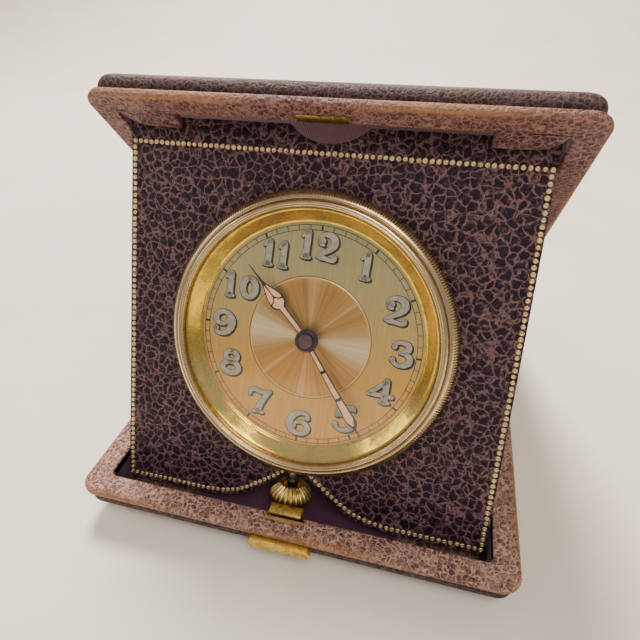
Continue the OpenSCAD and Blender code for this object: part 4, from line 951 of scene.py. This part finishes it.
def flute(kk, j, r, z):
    if r < 2.05:
        return r, z
    c_ = abs(C(PI * kk / SUB))
    depth = 0.55 * min(1, (r - 2.0) / 1.0)
    d = depth * (1 - c_) ** 1.0
    # move along the surface normal, roughly: in at the rim, up on the faces
    t = min(1, max(0, (r - 1.85) / 2.3))
    return r - d * t, z + (d * 0.9 * (1 - t) * (1 if z < 2.75 else -1))


vs, fs = lathe(cprof, NF * SUB, mod=flute)
crown = place("fluted_crown", [(x * 0.985, -max(z, 0.0) * 0.985, y * 0.985) for x, y, z in vs], fs, M_CLOCK @ T((0, -29.35, -1.4)), "stem_group", m_crown)
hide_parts("crown")

# the tube that the crown's recess turns round
vs, fs = lathe([(0.55, 0.0), (1.14, 0.0), (1.17, 0.05), (1.17, 6.7), (1.13, 6.85), (1.13, 7.7), (1.05, 7.8), (0.55, 7.8)], 64, closed=True)
tube = place("crown_tube", [(x, -z, y) for x, y, z in vs], fs, M_CLOCK @ T((0, -22.35, -1.4)), "panel", m_tube)
sharp(tube, 40)
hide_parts("stem_tube")

# ---------------------------------------------------------------- soft hinges
A0 = COV
sp = []


def cov_pt(a, b):  # in the cover: a out from the hinge wall, b out from the mating face
    return (a * C(A0) + b * S(A0), -a * S(A0) + b * C(A0))


path = [(0.22, -4.6), (0.22, -3.5), (0.22, -2.5), (0.24, -1.3), (0.34, -0.7), (0.50, -0.1), (0.60, 0.42)]
path += [cov_pt(0.24, 1.5), cov_pt(0.22, 2.5), cov_pt(0.22, 3.5), cov_pt(0.22, 4.6)]
line = catmull(path, 6)
xs = np.linspace(-HX, HX, 60)
dl = np.gradient(line, axis=0)
dl /= np.linalg.norm(dl, axis=1)[:, None]
nl = np.stack([dl[:, 1], -dl[:, 0]], 1)
vs = []
nline = len(line)
loop2 = [(line[i] + nl[i] * 0.19) for i in range(nline)] + [(line[i] - nl[i] * 0.19) for i in reversed(range(nline))]
ml_ = len(loop2)
for x in xs:
    for i, (y, z) in enumerate(loop2):
        wv = 0.035 * math.sin(x * 0.9 + i * 0.3) * math.sin(x * 0.23)
        vs.append((x, y + wv, z))
fs = []
for a in range(len(xs) - 1):
    for i in range(ml_):
        j = (i + 1) % ml_
        fs.append((a * ml_ + i, a * ml_ + j, (a + 1) * ml_ + j, (a + 1) * ml_ + i))
for i in range(nline - 1):
    fs.append((i, ml_ - 1 - i, ml_ - 2 - i, i + 1))
    e_ = (len(xs) - 1) * ml_
    fs.append((e_ + i, e_ + i + 1, e_ + ml_ - 2 - i, e_ + ml_ - 1 - i))
spine = place("spine_leather_strip", vs, fs, K @ T((0, HY, HZ)), None, m_spine)
(HY + cov_pt(0.3, 0.9)[0]) / 1000
(HZ + cov_pt(0.3, 0.9)[1]) / 1000
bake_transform(spine)
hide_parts("spine_leather")


def pr(n_, v_):
    return (n_ * C(LEAN) + v_ * S(LEAN), -n_ * S(LEAN) + v_ * C(LEAN))


path = [(-4.0, -2.07), (-1.8, -2.07), (0.4, -2.07), (1.5, -2.02), (2.1, -1.7), pr(2.64, -0.6), pr(2.62, 1.0), pr(2.6, 3.5), pr(2.6, 6.0)]
line = catmull(path, 5)
dl = np.gradient(line, axis=0); dl /= np.linalg.norm(dl, axis=1)[:, None]
nl = np.stack([dl[:, 1], -dl[:, 0]], 1)
vs, fs = [], []
loop2 = [(line[i] + nl[i] * 0.07) for i in range(len(line))] + [(line[i] - nl[i] * 0.07) for i in reversed(range(len(line)))]
ml_ = len(loop2)
for sgn in (-1, 1):
    xs = np.linspace(19.6, 35.4, 14) * sgn
    if sgn < 0:
        xs = xs[::-1]
    o = len(vs)
    for x in xs:
        for y, z in loop2:
            vs.append((x, y, z))
    for a in range(len(xs) - 1):
        for i in range(ml_):
            j = (i + 1) % ml_
            fs.append((o + a * ml_ + i, o + a * ml_ + j, o + (a + 1) * ml_ + j, o + (a + 1) * ml_ + i))
    for i in range(len(line) - 1):
        fs.append((o + i, o + ml_ - 1 - i, o + ml_ - 2 - i, o + i + 1))
        e_ = o + (len(xs) - 1) * ml_
        fs.append((e_ + i, e_ + i + 1, e_ + ml_ - 2 - i, e_ + ml_ - 1 - i))
strip = place("panel_hinge_leather", vs, fs, K @ T((0, SHY, FZ)), None, m_spine)
a_, b_ = pr(2.6, -1.4), pr(2.6, 1.2)
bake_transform(strip)
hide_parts("panel_hinge_strip")

# ---------------------------------------------------------------- materials and soft edges on the CAD nodes
MAT = {
    m_wood: ["base_board", "base_frame", "cover_board", "cover_frame", "panel_board"],
    m_shaded_base_silk: ["base_lining"], m_silk_c: ["cover_lining"],
    m_strike: ["strike_plate"], m_catch: ["latch_catch"], m_latch: ["latch_button"], m_blue: ["latch_spring", "click_spring", "mainspring", "hairspring"],
    m_panel: ["panel_leather"], m_case: ["clock_case", "case_back", "clamp_ring"], m_screw: ["clamp_screws", "bridge_screws"],
    m_tube: ["stem_tube"], m_plate: ["main_plate", "barrel_bridge", "train_bridge", "balance_cock"],
    m_wheel: ["barrel", "centre_wheel", "third_wheel", "fourth_wheel", "balance_wheel", "minute_wheel", "hour_wheel", "setting_wheel"],
    m_steel: ["barrel_arbor", "ratchet_wheel", "crown_wheel", "click", "winding_pinion", "clutch", "setting_lever", "cannon_pinion", "escape_wheel", "pallet_fork", "regulator", "stem"],
    m_bezel: ["bezel"], m_rehaut: ["rehaut"], m_glass: ["crystal"], m_dial: ["dial"], m_crown: ["crown"], m_hand: ["hour_hand", "minute_hand"],
    m_rim: ["base_rim_leather"], m_wall: ["base_leather", "cover_leather"], m_rimc: ["cover_rim_leather"], m_tab: ["cover_tabs"], m_spine: ["spine_leather", "panel_hinge_strip"],
}
for mt, names in MAT.items():
    for nme in names:
        ob = NODE[nme]
        ob.data.materials.clear()
        ob.data.materials.append(mt)


def soften(nme, width, seg=3, angle=30):
    ob = NODE[nme]
    w = ob.modifiers.new("weld", "WELD"); w.merge_threshold = 1e-6
    b = ob.modifiers.new("bevel", "BEVEL")
    b.width, b.segments, b.limit_method, b.angle_limit, b.use_clamp_overlap = width / 1000, seg, "ANGLE", math.radians(angle), True
    b.harden_normals = False
    for p_ in ob.data.polygons:
        p_.use_smooth = True


for nme, w_ in (("panel_leather", 0.32), ("latch_button", 0.35), ("latch_catch", 0.16), ("strike_plate", 0.08), ("case_back", 0.15), ("clamp_ring", 0.1)):
    soften(nme, w_)

# ---------------------------------------------------------------- floor, light, camera
k = NT("floor_paper")
v = k.coords(scale=1000.0)
a = k.noise(v, 0.02, 4, 0.6)
b = k.noise(v, 1.2, 4, 0.6)
c = k.mix(k.maprange(a, 0.3, 0.7), hexc("#f0e6d8"), hexc("#eadfce"))
c = k.mix(k.math("MULTIPLY", b, 0.1), c, hexc("#cfc6b6"))
m_floor = k.set(Base_Color=c, Roughness=0.75, Normal=k.bump(b, 0.00004, 0.5), Specular_IOR_Level=0.2)
gv, gf = [], []
prof2 = [(-1.2, 0.0), (0.35, 0.0)] + [(0.35 + 0.5 * S(t), 0.5 - 0.5 * C(t)) for t in np.linspace(0.1, PI / 2, 12)] + [(0.85, 1.6)]
for x in (-1.6, 1.6):
    for y, z in prof2:
        gv.append((x * 1000, y * 1000, z * 1000 - 0.02))
mf = len(prof2)
for i in range(mf - 1):
    gf.append((i, mf + i, mf + i + 1, i + 1))
floor = place("floor", gv, gf, K, None, m_floor)


def area_light(name, loc, target, size, power, col=(1, 1, 1), size_y=None):
    ld = bpy.data.lights.new(name, "AREA")
    ld.shape = "RECTANGLE"
    ld.size, ld.size_y = size, size_y or size
    ld.energy = power
    ld.color = col
    ob = bpy.data.objects.new(name, ld)
    bpy.context.collection.objects.link(ob)
    ob.location = loc
    ob.rotation_euler = (Vector(target) - Vector(loc)).to_track_quat("-Z", "Y").to_euler()
    return ob


area_light("key", (-0.22, 0.42, 0.72), (0, 0, 0.03), 0.24, 13.5, (1.0, 0.965, 0.90))
area_light("front_fill", (0.25, -0.40, 0.85), (0, 0, 0.03), 0.45, 5.5, (1.0, 0.96, 0.90))
area_light("left_fill", (-0.75, -0.10, 0.40), (0, 0, 0.03), 0.45, 1.6, (1.0, 0.98, 0.96))
w = bpy.data.worlds.new("studio")
bpy.context.scene.world = w
w.use_nodes = True
w.node_tree.nodes["Background"].inputs[0].default_value = (0.95, 0.92, 0.88, 1)
w.node_tree.nodes["Background"].inputs[1].default_value = 0.44

cd_ = bpy.data.cameras.new("camera")
cam = bpy.data.objects.new("camera", cd_)
bpy.context.collection.objects.link(cam)
cd_.sensor_width, cd_.lens = 36.0, 27.76
cd_.clip_start, cd_.clip_end = 0.005, 20
zc = -Vector((-0.2086, 0.7899, -0.5767)).normalized()
xc = Vector((-0.1393, 0.5596, 0.8170)).cross(zc).normalized()
yc = zc.cross(xc)
cam.matrix_world = T((0.01982, -0.089283, 0.08928)) @ Matrix((xc, yc, zc)).transposed().to_4x4()
bpy.context.scene.camera = cam
